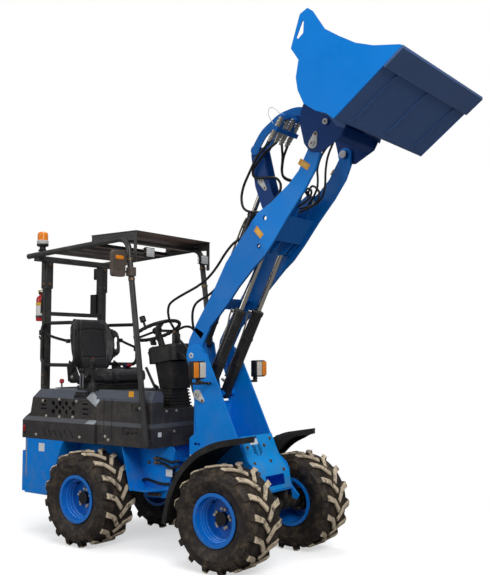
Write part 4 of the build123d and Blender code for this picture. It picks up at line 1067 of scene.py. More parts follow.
def pressSeams(bm, seams, values):
    # sinks sewn lines, given as seen from above, wherever the surface faces up
    bm.normal_update()
    moves = []
    for vert in bm.verts:
        if vert.normal.z < values["facing"]:
            continue
        near = min(nearestOnLine(vert.co.to_2d(), seam) for seam in seams)
        if near < values["seamWidth"] * 3:
            depth = values["seamDepth"] * math.exp(-((near / values["seamWidth"]) ** 2))
            moves.append((vert, vert.normal * depth))
    for vert, move in moves:
        vert.co -= move


def mirrorSeam(points):
    return [[(u, side * v) for u, v in points] for side in (-1, 1)]


def step(value, low, high):
    share = max(0.0, min(1.0, (value - low) / (high - low)))
    return share * share * (3 - 2 * share)


def dressLeather(leather):
    # a fine grain with soft creases over it
    tree = leather.node_tree
    spot = objectSpot(tree)
    grain = wire(tree, "ShaderNodeTexVoronoi", Vector=spot, Scale=520.0)
    creases = wire(tree, "ShaderNodeTexNoise", Vector=spot, Scale=34.0, Detail=5.0, Distortion=0.8)
    first = wire(tree, "ShaderNodeBump", Strength=0.25, Distance=0.0008, Height=grain.outputs["Distance"])
    second = wire(tree, "ShaderNodeBump", Strength=0.25, Distance=0.004, Height=creases.outputs["Fac"],
                  Normal=first.outputs["Normal"])
    feed(tree, tree.nodes["Principled BSDF"].inputs["Normal"], second.outputs["Normal"])


def finishPad(name, bm, node):
    piece = finishPiece(name, bm, ["seatLeather"], "rear", smoothAngle=80)
    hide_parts(node)


cushionValues = {
    "middle": (-1.094, 0, 1.1745), "size": (0.366, 0.432, 0.08, 1), "corner": 0.065, "rim": 0.018, "cap": 0.014,
    "topFrom": (1.165, 1.205), "bolster": (0.12, 0.175), "bolsterEnd": (0.195, 0.23), "nose": (-1.02, -0.915),
    "boxingZ": 1.196, "boxing": 0.004,
    "seams": mirrorSeam([(-1.28, 0.15), (-1.2, 0.142), (-1.05, 0.142), (-0.955, 0.165)]) + [
        [(-1.2, -0.14), (-1.196, 0), (-1.2, 0.14)], [(-1.03, -0.142), (-1.018, 0), (-1.03, 0.142)]],
}


def makeCushion(values):
    bm = bmesh.new()
    bmesh.ops.create_cube(bm, size=1, matrix=Matrix.Translation(values["middle"]) @ Matrix.Diagonal(values["size"]))
    height = lambda edge: abs((edge.verts[0].co - edge.verts[1].co).z)
    soften(bm, [edge for edge in bm.edges if height(edge) > 0.02], values["corner"], segments=8)
    rims = [edge for edge in bm.edges if height(edge) < 0.001 and any(
        len(face.verts) > 4 for face in edge.link_faces)]
    soften(bm, rims, values["rim"], segments=4)

    def shape(spot):
        top = step(spot.z, *values["topFrom"])
        side = step(abs(spot.y), *values["bolster"]) - step(abs(spot.y), *values["bolsterEnd"]) * 0.8
        front = step(spot.x, *values["nose"])
        hollow = 1 - step(abs(spot.x + 1.11), 0.06, 0.18)
        lift = 0.01 * side - 0.014 * front - 0.006 * hollow * (1 - side)
        return Vector((spot.x, spot.y, spot.z + lift * top))

    bm = swellPad("seatCushionPad", makeObject("cushionWork", bm), shape, values["cap"], padValues)
    pressSeams(bm, values["seams"], padValues)
    # the boxing seam round the side
    bm.normal_update()
    for vert in bm.verts:
        if abs(vert.normal.z) < 0.75:
            near = abs(vert.co.z - values["boxingZ"]) / values["boxing"]
            vert.co -= vert.normal * values["boxing"] * math.exp(-(near ** 2))
    finishPad("seatCushionPad", bm, "seat_cushion")


halfWrap = [(0.104, -0.062), (0.192, -0.038), (0.229, 0.006), (0.234, 0.08), (0.209, 0.08), (0.193, 0.026),
            (0.142, -0.008)]
backValues = {
    "foot": (-1.2905, 0, 1.185), "lean": (1, 0, 0.16), "cap": 0.012, "cutTries": 12, "height": 0.46,
    # the wrapped section, a centre panel with two wings
    "wrap": halfWrap + [(-a, c) for a, c in reversed(halfWrap)],
    # the outline from the front, from the side, and the slots through the wings
    "front": roundOutline([(side * a, b) for side in (-1, 1) for a, b in (
        (0.104, 0.05), (0.128, 0.088), (0.18, 0.192), (0.182, 0.285), (0.124, 0.408))], 0.048),
    "side": roundOutline(
        [(0.03, -0.05), (0.03, -0.018), (0.16, 0.052), (0.318, 0.052), (0.43, -0.018), (0.435, -0.04)],
        [0.016, 0.016, 0.022, 0.022, 0.018, 0.016]),
    "slots": roundOutline([(0.205, 0.034), (0.2, 0.044), (0.28, 0.052), (0.276, 0.04)], 0.011),
    "seams": [[(side * a, b) for a, b in (
        (0.11, 0.02), (0.122, 0.1), (0.134, 0.2), (0.132, 0.3), (0.108, 0.42))] for side in (-1, 1)] + [
        [(-0.128, 0.345), (0, 0.356), (0.128, 0.345)], [(-0.124, 0.135), (0, 0.128), (0.124, 0.135)]],
}


def isClosed(mesh):
    bm = bmesh.new()
    bm.from_mesh(mesh)
    closed = all(edge.is_manifold for edge in bm.edges)
    bm.free()
    return closed


def cutBackForm(values):
    # the section drawn up the back, trimmed to its two outlines and cut through the wings
    bm, front, sides, slots = (bmesh.new() for number in range(4))
    addPlate(bm, [(a, 0, c) for a, c in values["wrap"]], (0, 1, 0), values["height"])
    addPlate(front, [(a, b, -0.2) for a, b in values["front"]], (0, 0, 1), 0.4)
    addPlate(sides, [(-0.3, b, c) for b, c in values["side"]], (1, 0, 0), 0.6)
    addPlate(slots, [(-0.3, b, c) for b, c in values["slots"]], (1, 0, 0), 0.6)
    holder = makeObject("backWork", bm)
    for kind, tool in (("INTERSECT", front), ("INTERSECT", sides), ("DIFFERENCE", slots)):
        knife = makeObject("backKnife", tool)
        cut = holder.modifiers.new("cut", "BOOLEAN")
        cut.operation = kind
        cut.solver = "EXACT"
        cut.object = knife
        holder.data = bakeMesh(holder)
        holder.modifiers.clear()
        bpy.data.objects.remove(knife)
    return holder


def makeSeatBack(values):
    normal = Vector(values["lean"]).normalized()
    up = Vector((-normal.z, 0, normal.x))
    place = Matrix((*zip((0, 1, 0), up, normal, values["foot"]), (0, 0, 0, 1)))
    # the exact cut now and then leaves an open mesh, and is made again
    for attempt in range(values["cutTries"]):
        holder = cutBackForm(values)
        if isClosed(holder.data):
            break
        bpy.data.objects.remove(holder)

    def shape(spot):
        a, b, c = abs(spot.x), spot.y, spot.z
        front = step(c, -0.04, -0.015) * (1 - step(a, 0.12, 0.16))
        lumbar = 0.01 * math.exp(-((b - 0.1) / 0.08) ** 2) + 0.006 * math.exp(-((b - 0.38) / 0.05) ** 2)
        return Vector((spot.x, spot.y, c + (lumbar - 0.006) * front))

    bm = swellPad("seatBackPad", holder, shape, values["cap"], padValues)
    pressSeams(bm, values["seams"], padValues)
    bmesh.ops.transform(bm, matrix=place, verts=bm.verts)
    finishPad("seatBackPad", bm, "seat_back")


seatFittingValues = {
    "recliner": [(-1.345, 1.13), (-1.235, 1.13), (-1.215, 1.16), (-1.262, 1.252), (-1.335, 1.292), (-1.36, 1.24)],
    "reclinerY": 0.2335, "bolts": [(side, (-1.3, side * 0.238, 1.165)) for side in (-1, 1)],
    # slide rails, cross rail and the slide's handle
    "boxes": [((-1.31, y - 0.018, 1.118), (-0.95, y + 0.018, 1.13), 0.002) for y in (-0.15, 0.15)] + [
        ((-1.345, -0.225, 1.118), (-1.296, 0.225, 1.16), 0.008),
        ((-1.012, -0.262, 1.111), (-0.955, -0.24, 1.125), 0.004)],
    "rods": [((-1.318, side * 0.16, 1.262), (-1.318, side * 0.236, 1.262), 0.012, 14) for side in (-1, 1)] + [
        ((-1.05, -0.222, 1.12), (-1.0, -0.25, 1.118), 0.006, 12, 0, 0.001),
        ((-1.15, -0.233, 1.172), (-1.15, -0.239, 1.172), 0.006, 10, 1)],
    # the recliner's knob and the adjuster on the cushion's side
    "turned": [
        ((-1.3, -0.239, 1.225), (0, -1, 0),
         [(0, 0.0), (0.022, 0.0), (0.024, 0.004), (0.024, 0.014), (0.019, 0.019), (0, 0.02)], 24),
        ((-1.15, -0.224, 1.172), (0, -1, 0),
         [(0, 0.0), (0.019, 0.0), (0.02, 0.005), (0.017, 0.011), (0, 0.012)], 20)],
}


def makeSeatFittings(values):
    # recliner plates and knobs, slide rails and the adjuster on the cushion's side
    bm = bmesh.new()
    for side, spot in values["bolts"]:
        addSidePlate(bm, values["reclinerY"], side, values["recliner"], 0.005, 0.001)
        addBolt(bm, spot, (0, side, 0), 0.01, 1)
    addParts(bm, values)
    finishPiece("seatFittings", bm, ["blackPlastic", "paleBolt"], "rear")


beltValues = {
    "thickness": 0.0022, "buckleTurn": -24,
    # the webbing's centre line and half its width
    "runs": [
        ([(-1.545, -0.318, 1.505), (-1.47, -0.316, 1.48), (-1.4, -0.282, 1.455), (-1.352, -0.236, 1.44)], 0.011),
        ([(-1.262, 0.238, 1.45), (-1.236, 0.262, 1.43), (-1.2, 0.3, 1.408), (-1.176, 0.322, 1.392)], 0.011),
        ([(-1.205, 0.208, 1.238), (-1.15, 0.2, 1.251), (-1.105, 0.18, 1.247)], 0.018),
    ],
    # reel, guides and lower anchor, then the turned buckle and its button
    "boxes": [
        ((-1.564, -0.35, 1.487), (-1.528, -0.308, 1.527), 0.006),
        ((-1.366, -0.25, 1.424), (-1.338, -0.224, 1.456), 0.005),
        ((-1.276, 0.226, 1.434), (-1.248, 0.25, 1.466), 0.005),
        ((-1.19, 0.31, 1.362), (-1.156, 0.348, 1.412), 0.006),
    ],
    "buckle": [((-1.135, 0.14, 1.238), (-1.075, 0.182, 1.26), 0.005, 1),
               ((-1.088, 0.132, 1.243), (-1.066, 0.17, 1.264), 0.004, 2)],
}


def makeBelt(values):
    bm = bmesh.new()
    for points, half in values["runs"]:
        line = smoothLine([Vector(point) for point in points], resolution=8)
        ends = [bm.verts.new(line[0] + Vector((0, 0, way * half))) for way in (-1, 1)]
        edge = bm.edges.new(ends)
        for before, after in zip(line, line[1:]):
            made = bmesh.ops.extrude_edge_only(bm, edges=[edge])["geom"]
            bmesh.ops.translate(bm, verts=pick(made, bmesh.types.BMVert), vec=after - before)
            edge = pick(made, bmesh.types.BMEdge)[0]
    bmesh.ops.solidify(bm, geom=bm.faces[:], thickness=values["thickness"])
    bmesh.ops.recalc_face_normals(bm, faces=bm.faces[:])
    finishPiece("seatBelt", bm, ["belt"], "rear", smoothAngle=50)

    bm = bmesh.new()
    addParts(bm, values)
    turn = Matrix.Rotation(math.radians(values["buckleTurn"]), 4, "Z")
    for block in values["buckle"]:
        addBox(bm, *block, turn)
    finishPiece("beltBuckle", bm, ["blackPlastic", "buckleBlue", "redPlastic"], "rear")


dressLeather(finishes["seatLeather"])
makeCushion(cushionValues)
makeSeatBack(backValues)
makeSeatFittings(seatFittingValues)
makeBelt(beltValues)
print("seat made")


# the hood, console, tub and deck
bodyBoltValues = {
    "upper": [(-1.483, 0.986), (-1.296, 1.001), (-1.106, 0.994), (-1.441, 0.872), (-1.292, 0.872), (-1.145, 0.874)],
    "lower": [(-1.514, 0.732), (-1.031, 0.739), (-0.787, 0.757), (-0.756, 0.735)],
    "upperY": 0.362, "lowerRearY": 0.395, "lowerFrontY": 0.375, "lowerStep": -0.88, "size": 0.0095,
    "top": [(-1.6, 0.26), (-1.6, -0.26), (-0.93, 0.27), (-1.15, 0.31), (-1.4, 0.31), (-1.4, -0.31)], "topZ": 1.072,
    "cowlX": -0.335, "cowl": [(-0.149, 0.803), (-0.229, 0.945), (-0.127, 0.945), (0.18, 0.945), (0.3, 0.945)],
    "pocket": (-0.456, -0.3705, 0.968), "smallSize": 0.008,
}


def boltBody(values):
    # pale bolts along both sides, on the hood's top, on the cowl and by the console's pocket
    bm = bmesh.new()
    for side in (-1, 1):
        for x, z in values["upper"]:
            addBolt(bm, (x, side * values["upperY"], z), (0, side, 0), values["size"])
        for x, z in values["lower"]:
            y = values["lowerRearY" if x < values["lowerStep"] else "lowerFrontY"]
            addBolt(bm, (x, side * y, z), (0, side, 0), values["size"])
    for x, y in values["top"]:
        addBolt(bm, (x, y, values["topZ"]), (0, 0, 1))
    for y, z in values["cowl"]:
        addBolt(bm, (values["cowlX"], y, z), (1, 0, 0), values["smallSize"])
    addBolt(bm, values["pocket"], (0, -1, 0), values["smallSize"])
    finishPiece("bodyBolts", bm, ["paleBolt"], "rear")


grilleValues = {
    "shadeSheet": rectangle(-1.505, 0.872, -0.975, 1.006), "shadeSheetY": 0.3475, "wireY": 0.3505, "pitch": 0.009,
    "wire": 0.0011, "columns": 59, "rows": 15, "left": -1.503, "right": -0.977, "low": 0.874, "high": 1.004,
    "louvre": rectangle(-1.54, 0.716, -1.01, 0.79), "louvreShadeSheetY": 0.3895, "thickness": 0.001,
}


def makeGrilles(values):
    # wire mesh over a dark sheet of painted shade behind each side's grille, and another sheet of painted shade
    # inside the lower louvres
    bm = bmesh.new()
    thin = values["wire"]
    for side in (-1, 1):
        y = side * values["wireY"]
        # a dark sheet of painted shade behind the grille's wires
        addSidePlate(bm, values["shadeSheetY"], side, values["shadeSheet"], values["thickness"])
        for number in range(values["columns"]):
            x = values["left"] + number * values["pitch"]
            addRod(bm, (x, y, values["low"]), (x, y, values["high"]), thin, 4, 1)
        for number in range(values["rows"]):
            z = values["low"] + 0.002 + number * values["pitch"]
            addRod(bm, (values["left"], y, z), (values["right"], y, z), thin, 4, 1)
        # a dark sheet of painted shade inside the lower louvres
        addSidePlate(bm, values["louvreShadeSheetY"], side, values["louvre"], values["thickness"])
    finishPiece("grilleMesh", bm, ["blackPaint", "castIron"], "rear")


stripValues = {
    "wedge": [(-0.955, -0.338, 1.068), (-0.998, -0.361, 1.02), (-0.884, -0.377, 0.96), (-0.842, -0.377, 1.01)],
    "wedgeWay": (0.07, -0.92, 0.38), "sink": 0.012, "thickness": 0.018,
    "bandEnd": [(-0.975, 0.3955, 0.838), (-0.885, 0.3955, 0.838), (-0.885, 0.3635, 0.864), (-0.965, 0.3635, 0.864)],
}


def makeStrips(values):
    # bright strips: the wedge over the deck and the band's end plates
    bm = bmesh.new()
    out = Vector(values["wedgeWay"])
    addPlate(bm, [Vector(corner) - out * values["sink"] for corner in values["wedge"]], out, values["thickness"],
             0.003)
    for side in (-1, 1):
        addPlate(bm, [(x, side * y, z) for x, y, z in values["bandEnd"]], (0, side, 1), 0.002, 0.0006)
    finishPiece("bodyStrips", bm, ["bareEdge"], "rear")


rearLabelValues = {
    "thickness": 0.0012, "tubY": 0.4, "tub": rectangle(-1.475, 0.61, -1.409, 0.671),
    "tape": rectangle(-1.622, 0.42, -1.612, 0.69),
    "console": [(-0.565, -0.3685, 1.0435), (-0.516, -0.3685, 1.0435), (-0.531, -0.3505, 1.0815),
                (-0.58, -0.3505, 1.0815)],
    "cowl": rectangle(-0.315, 0.774, -0.28, 0.806), "chassis": rectangle(-0.358, 0.497, -0.299, 0.546),
    "hinge": rectangle(-0.143, 0.635, -0.112, 0.66),
}


def makeRearLabels(values):
    # blank labels and plates, and the tub's edge tape
    bm = bmesh.new()
    thin = values["thickness"]
    for side in (-1, 1):
        addSidePlate(bm, values["tubY"], side, values["tub"], thin)
        addSidePlate(bm, values["tubY"], side, values["tape"], thin, index=2)
    addPlate(bm, values["console"], (0, -1, 0.47), thin, index=1)
    addEndPlate(bm, -0.335, 1, values["cowl"], thin)
    addSidePlate(bm, 0.205, -1, values["chassis"], thin)
    addSidePlate(bm, 0.195, -1, values["hinge"], thin + 0.006)
    finishPiece("rearLabels", bm, ["whiteLabel", "orangeLabel", "edgeTape"], "rear")


consoleValues = {
    "switchPlate": [(-1.138, -0.3598, 1.016), (-0.998, -0.3598, 1.016), (-0.998, -0.3375, 1.06),
                    (-1.138, -0.3375, 1.06)],
    # switches, joint ribs, the pocket's latch and a block by the hinge
    "boxes": [((x - 0.009, -0.366, 1.03), (x + 0.009, -0.352, 1.048), 0.002, 1)
              for x in (-1.112, -1.084, -1.052, -1.024)] + [
        ((x - 0.002, -0.3765, 0.73), (x + 0.002, -0.3735, 1.028), 0, 1) for x in (-0.722, -0.802)] + [
        ((-0.5, -0.374, 0.952), (-0.47, -0.366, 0.978), 0.003),
        ((-0.205, -0.198, 0.56), (-0.12, -0.188, 0.61), 0.002)],
    # x, z and radius of the sockets in the pocket, and y of their foot, face and slot
    "sockets": ((-0.578, 0.8, 0.016), (-0.53, 0.796, 0.012), (-0.494, 0.806, 0.014)),
    "socketY": (-0.355, -0.3735, -0.3745),
}


def makeConsoleParts(values):
    # switch plate, joint ribs, pocket latch and sockets, and a block by the hinge
    bm = bmesh.new()
    addPlate(bm, values["switchPlate"], (0, -1, 0.52), 0.007, 0.002)
    addParts(bm, values)
    foot, face, slot = values["socketY"]
    for x, z, radius in values["sockets"]:
        addRod(bm, (x, foot, z), (x, face, z), radius, 20, 1, 0.002)
        addRod(bm, (x, face, z), (x, slot, z), radius * 0.5, 6)
    finishPiece("consoleParts", bm, ["blackPlastic", "blackPaint"], "rear")


chassisValues = {
    "plateY": 0.205, "nuts": ((-0.511, 0.361), (-0.479, 0.362), (-0.448, 0.363), (-0.416, 0.364)), "nutSize": 0.011,
    "bolts": ((-0.64, 0.52), (-0.64, 0.6), (-0.52, 0.58), (-1.14, 0.56), (-1.14, 0.62)), "boltSize": 0.01,
    # height and sag of the two hoses from the stubs
    "stubs": ((0.585, 0.03), (0.615, 0.02)), "hoseRadius": 0.0095,
    "hoses": [([(-0.6, -0.207, 0.44), (-0.54, -0.222, 0.47), (-0.46, -0.224, 0.455), (-0.38, -0.215, 0.44),
                (-0.33, -0.2, 0.445)], 0.01)],
}


def makeChassisFittings(values):
    # nuts, bolts, hydraulic stubs and their hoses, low on the chassis
    bm = bmesh.new()
    for side in (-1, 1):
        for size, spots in ((values["nutSize"], values["nuts"]), (values["boltSize"], values["bolts"])):
            for x, z in spots:
                addBolt(bm, (x, side * values["plateY"], z), (0, side, 0), size)
    for z, sag in values["stubs"]:
        addRod(bm, (-0.44, -0.196, z), (-0.44, -0.232, z), 0.013, 6, bevel=0.001)
        addRod(bm, (-0.44, -0.214, z), (-0.4, -0.214, z), 0.009, 12)
    finishPiece("chassisFittings", bm, ["boltBrown"], "rear")
    bm = bmesh.new()
    for z, sag in values["stubs"]:
        addHose(bm, [(-0.405, -0.214, z), (-0.37, -0.215, z - 0.002), (-0.31, -0.214, z - sag),
                     (-0.27, -0.2, z - sag * 0.6), (-0.262, -0.18, z - sag * 0.4)], values["hoseRadius"])
    addParts(bm, values)
    finishPiece("chassisHoses", bm, ["hoseRubber"], "rear")


tailLampValues = {
    # outline's two centres and its radius, thickness, bevel and finish: on the rear face, then on the side
    "faces": [
        (-1.678, (0.744, 0.796), 0.017, 0.006, 0.002, 0), (-1.684, (0.744, 0.762), 0.0125, 0.004, 0.0015, 1),
        (-1.684, (0.788, 0.796), 0.0125, 0.004, 0.0015, 2)],
    "sides": [(0.395, (0.748, 0.8), 0.017, 0.003, 0.001, 0), (0.398, (0.76, 0.788), 0.0115, 0.003, 0.001, 1)],
    "y": 0.372, "x": -1.652,
}


def makeTailLamps(values):
    # red and amber lenses in oval recesses, and a red one on each side
    bm = bmesh.new()
    for side in (-1, 1):
        for x, heights, radius, *rest in values["faces"]:
            outline = roundOutline([(side * values["y"], z) for z in heights], radius)
            addEndPlate(bm, x, -1, outline, *rest)
        for y, heights, radius, *rest in values["sides"]:
            addSidePlate(bm, y, side, roundOutline([(values["x"], z) for z in heights], radius), *rest)
    finishPiece("tailLamps", bm, ["blackPlastic", "redLens", "amberLens"], "rear")


doorValues = {
    "faceX": -1.69, "louvres": 5, "louvreFoot": 0.735, "louvrePitch": 0.022, "louvre": (0.06, 0.24),
    # the latch and its handle
    "boxes": [((-1.701, -0.335, 0.76), (-1.689, -0.285, 0.8), 0.003, 1),
              ((-1.706, -0.33, 0.77), (-1.698, -0.296, 0.782), 0.003, 2)],
    "blank": rectangle(-0.045, 0.735, 0.045, 0.78), "bolts": [(y, z) for y in (-0.345, 0.33) for z in (0.72, 0.842)],
}


def makeDoorTrim(values):
    # louvres, a latch, a blank plate and bolts on the rear door
    bm = bmesh.new()
    for number in range(values["louvres"]):
        z = values["louvreFoot"] + number * values["louvrePitch"]
        for side in (-1, 1):
            outline = roundOutline([(side * y, z) for y in values["louvre"]], 0.005)
            addEndPlate(bm, values["faceX"], -1, outline, 0.0035, 0.001, 1)
    addParts(bm, values)
    addEndPlate(bm, values["faceX"], -1, values["blank"], 0.0015, index=3)
    for y, z in values["bolts"]:
        addBolt(bm, (values["faceX"], y, z), (-1, 0, 0), 0.008, 2)
    finishPiece("rearDoorTrim", bm, ["hoodPaint", "blackPaint", "boltBrown", "whiteLabel"], "rear_door")


hoodTopValues = {
    "cap": (-1.28, 0.2, 1.072), "grips": 12, "gripRing": 0.036, "ribs": (-1.6, -1.57, -1.54, -1.51),
    "profile": [(0, -0.002), (0.042, -0.002), (0.042, 0.006), (0.038, 0.008), (0.036, 0.022), (0.033, 0.026),
                (0, 0.026)],
    "tailBolts": [(y, z) for y in (-0.2, 0.2) for z in (0.345, 0.555)],
}


def makeHoodTop(values):
    # the filler cap with its grips, the ribs behind it, and the counterweight's bolts
    bm = bmesh.new()
    addLathe(bm, values["cap"], (0, 0, 1), values["profile"], 36)
    for number in range(values["grips"]):
        angle = math.tau * number / values["grips"]
        spot = Vector(values["cap"]) + Vector((math.cos(angle), math.sin(angle), 0)) * values["gripRing"]
        addRod(bm, spot + Vector((0, 0, 0.008)), spot + Vector((0, 0, 0.022)), 0.003, 8)
    for x in values["ribs"]:
        addBox(bm, (x - 0.006, -0.14, 1.0715), (x + 0.006, 0.14, 1.0755), 0.0015)
    finishPiece("hoodTop", bm, ["blackPlastic"], "rear")
    bm = bmesh.new()
    for y, z in values["tailBolts"]:
        addBolt(bm, (-1.69, y, z), (-1, 0, 0), 0.014)
    finishPiece("tailBolts", bm, ["boltBrown"], "rear")


boltBody(bodyBoltValues)
makeGrilles(grilleValues)
makeStrips(stripValues)
makeRearLabels(rearLabelValues)
makeConsoleParts(consoleValues)
makeChassisFittings(chassisValues)
makeTailLamps(tailLampValues)
makeDoorTrim(doorValues)
makeHoodTop(hoodTopValues)
print("hood, console and tub dressed")


# the operator's station
leverValues = {
    "places": (-1.155, -1.125), "y": -0.285, "deckZ": 1.068, "radius": 0.006,
    "knob": [(0, 0), (0.008, 0), (0.013, 0.008), (0.014, 0.02), (0.012, 0.032), (0.006, 0.039), (0, 0.041)],
    "collar": [(0.02, -0.001), (0.02, 0.003), (0.012, 0.012), (0.0062, 0.018)],
    "stopX": -1.361, "stopKnob": [(0, 0), (0.01, 0), (0.017, 0.006), (0.018, 0.022), (0.013, 0.032), (0, 0.035)],
    # the column lever's rod and grip, and the lower lever's two parts
    "rods": [((-0.5, -0.1, 1.395), (-0.538, -0.118, 1.452), 0.006, 12, 1),
             ((-0.585, -0.175, 1.245), (-0.5, -0.178, 1.115), 0.01, 16, 1),
             ((-0.5, -0.178, 1.118), (-0.492, -0.15, 1.1), 0.013, 16, 1)],
    "turned": [((-0.536, -0.117, 1.445), (0.14, -0.05, 1),
                [(0, 0), (0.01, 0.002), (0.014, 0.02), (0.014, 0.096), (0.01, 0.114), (0, 0.118)], 18, 1)],
}


def makeLevers(values):
    # twin levers, a red stop knob and a column lever on the console and the bonnet
    bm = bmesh.new()
    y, up = values["y"], (0, 0, 1)
    for x in values["places"]:
        addRod(bm, (x, y, values["deckZ"]), (x, y, 1.205), values["radius"], 14)
        addLathe(bm, (x, y, 1.196), up, values["knob"], 18, 1)
        addLathe(bm, (x, y, 1.071), up, values["collar"], 18, 1)
    addRod(bm, (values["stopX"], y, values["deckZ"]), (values["stopX"], y, 1.122), 0.007, 14)
    addLathe(bm, (values["stopX"], y, 1.118), up, values["stopKnob"], 20, 2)
    addParts(bm, values)
    finishPiece("stationLevers", bm, ["greyPlastic", "blackPlastic", "redPlastic"], "rear")


columnValues = {
    "lean": -24,
    # low and high corners, bevel and finish of the leaning boxes: switch, display, its glass
    "leaning": [((-0.64, -0.098, 1.322), (-0.612, -0.046, 1.362), 0.004, 0),
                ((-0.604, -0.118, 1.405), (-0.588, -0.066, 1.45), 0.004, 0),
                ((-0.608, -0.112, 1.411), (-0.6, -0.072, 1.444), 0.002, 1)],
    # the rib and the row of switches
    "boxes": [((-0.418, -0.01, 0.965), (-0.41, 0.01, 1.085), 0.003)] + [
        ((-0.601, y - 0.014, 1.312), (-0.585, y + 0.014, 1.338), 0.003) for y in (-0.06, 0.0, 0.06)],
    "rods": [((-0.6, -0.092, 1.395), (-0.56, -0.08, 1.345), 0.006, 10)],
    "bolts": [(y, z) for y in (-0.118, 0.118) for z in (0.95, 0.76)],
}


def makeColumnParts(values):
    # the column's cap: display, switches, seam bolts, and a rib down its front
    bm = bmesh.new()
    turn = Matrix.Rotation(math.radians(values["lean"]), 4, "Y")
    for box in values["leaning"]:
        addBox(bm, *box, turn)
    addParts(bm, values)
    for y, z in values["bolts"]:
        addBolt(bm, (-0.42, y, z), (1, 0, 0), 0.008, 2)
    finishPiece("columnParts", bm, ["blackPlastic", "reflector", "boltBrown"], "rear")


gripValues = {
    "tilt": -24, "hub": (-0.64, 0, 1.515), "nubs": 28, "ring": 0.172, "drop": -0.0125, "nubHalf": 0.002,
    "nubRadius": 0.007,
    "cap": [(0, -0.02), (0.036, -0.02), (0.036, 0.002), (0.03, 0.009), (0.016, 0.012), (0, 0.0125)],
}


def makeWheelGrip(values):
    # grip nubs round the steering wheel's rim, and its hub cap
    bm = bmesh.new()
    tilt = Matrix.Rotation(math.radians(values["tilt"]), 4, "Y")
    hub, axis = Vector(values["hub"]), tilt @ Vector((0, 0, 1))
    for number in range(values["nubs"]):
        angle = math.tau * number / values["nubs"]
        spot = hub + tilt @ Vector((values["ring"] * math.cos(angle), values["ring"] * math.sin(angle),
                                    values["drop"]))
        half = axis * values["nubHalf"]
        addRod(bm, spot - half, spot + half, values["nubRadius"], 10, bevel=0.001)
    addLathe(bm, hub + axis * 0.012, axis, values["cap"])
    finishPiece("wheelGrip", bm, ["blackPlastic"], "rear")


joystickValues = {"place": (-0.985, -0.318), "rings": 7, "foot": 0.048, "narrowing": 0.0048, "pitch": 0.0105}


def makeJoystickParts(values):
    # the joystick's boot and the thumb switches of its grip
    bm = bmesh.new()
    x, y = values["place"]
    rings = [(0, -0.002), (0.052, -0.002)]
    for number in range(values["rings"]):
        radius, rise = values["foot"] - number * values["narrowing"], number * values["pitch"]
        rings += [(radius, 0.004 + rise), (radius - 0.007, 0.0095 + rise)]
    addLathe(bm, (x, y, 1.074), (0, 0, 1), rings + [(0.0095, 0.083), (0, 0.084)], 30)
    addBox(bm, (-0.964, -0.33, 1.262), (-0.956, -0.306, 1.288), 0.003)
    addRod(bm, (x, y, 1.31), (x, y, 1.317), 0.009, 16, 1, 0.001)
    finishPiece("joystickParts", bm, ["blackPlastic", "redPlastic"], "rear")


matValues = {
    "bars": 10, "barFoot": -0.845, "barPitch": 0.03, "barEnds": (-0.235, 0.345), "barRadius": 0.006, "z": 0.72,
    "pedals": (0.18, -0.195), "pedalHalf": 0.04, "pedalLean": 0.5,
}


def makeDeckMat(values):
    # the deck's rubber mat with raised bars, and the pedals on it
    bm = bmesh.new()
    for number in range(values["bars"]):
        x = values["barFoot"] + number * values["barPitch"]
        outline = roundOutline([(x, y) for y in values["barEnds"]], values["barRadius"])
        addPlate(bm, [(u, v, values["z"]) for u, v in outline], (0, 0, 1), 0.003, 0.001)
    lean = Matrix.Rotation(values["pedalLean"], 4, "Y")
    for y in values["pedals"]:
        half = values["pedalHalf"]
        addBox(bm, (-0.572, y - half, 0.742), (-0.56, y + half, 0.862), 0.004, turn=lean)
        addRod(bm, (-0.566, y, 0.78), (-0.54, y, 0.722), 0.008, 12)
    finishPiece("deckMat", bm, ["blackPlastic"], "rear")


makeLevers(leverValues)
makeColumnParts(columnValues)
makeWheelGrip(gripValues)
makeJoystickParts(joystickValues)
makeDeckMat(matValues)
print("station dressed")


# the canopy and what hangs from it
canopyValues = {
    "postX": -1.545, "postY": 0.291, "postHalf": 0.032, "sleeveBolts": (1.885, 2.035), "footY": 0.317,
    "footBolts": (1.115, 1.175), "boltSize": 0.01, "tubeTop": (-0.56, 0.4, 2.162), "tubeWay": (0.202, 0, -1.45),
    "rings": (0.16, 0.3), "ring": [(0.0208, -0.01), (0.0235, -0.009), (0.0235, 0.009), (0.0208, 0.01)],
}


def boltCanopy(values):
    # bolts of the posts' sleeves and feet, and rings with a bolt on the front tubes
    bm = bmesh.new()
    x, y, half = values["postX"], values["postY"], values["postHalf"]
    way = Vector(values["tubeWay"]).normalized()
    topX, topY, topZ = values["tubeTop"]
    for side in (-1, 1):
        for z in values["sleeveBolts"]:
            for spot, out in (((x + half, side * y, z), (1, 0, 0)), ((x, side * (y + half), z), (0, side, 0)),
                              ((x - half, side * y, z), (-1, 0, 0))):
                addBolt(bm, spot, out, values["boltSize"])
        for distance in values["rings"]:
            spot = Vector((topX, side * topY, topZ)) + way * distance
            addLathe(bm, spot, way, values["ring"])
            addBolt(bm, spot + Vector((0.0235, 0, 0.003)), (1, 0, 0.14), 0.007)
        for z in values["footBolts"]:
            addBolt(bm, (x, side * values["footY"], z), (0, side, 0), values["boltSize"])
    finishPiece("canopyBolts", bm, ["boltBrown"], "rear")


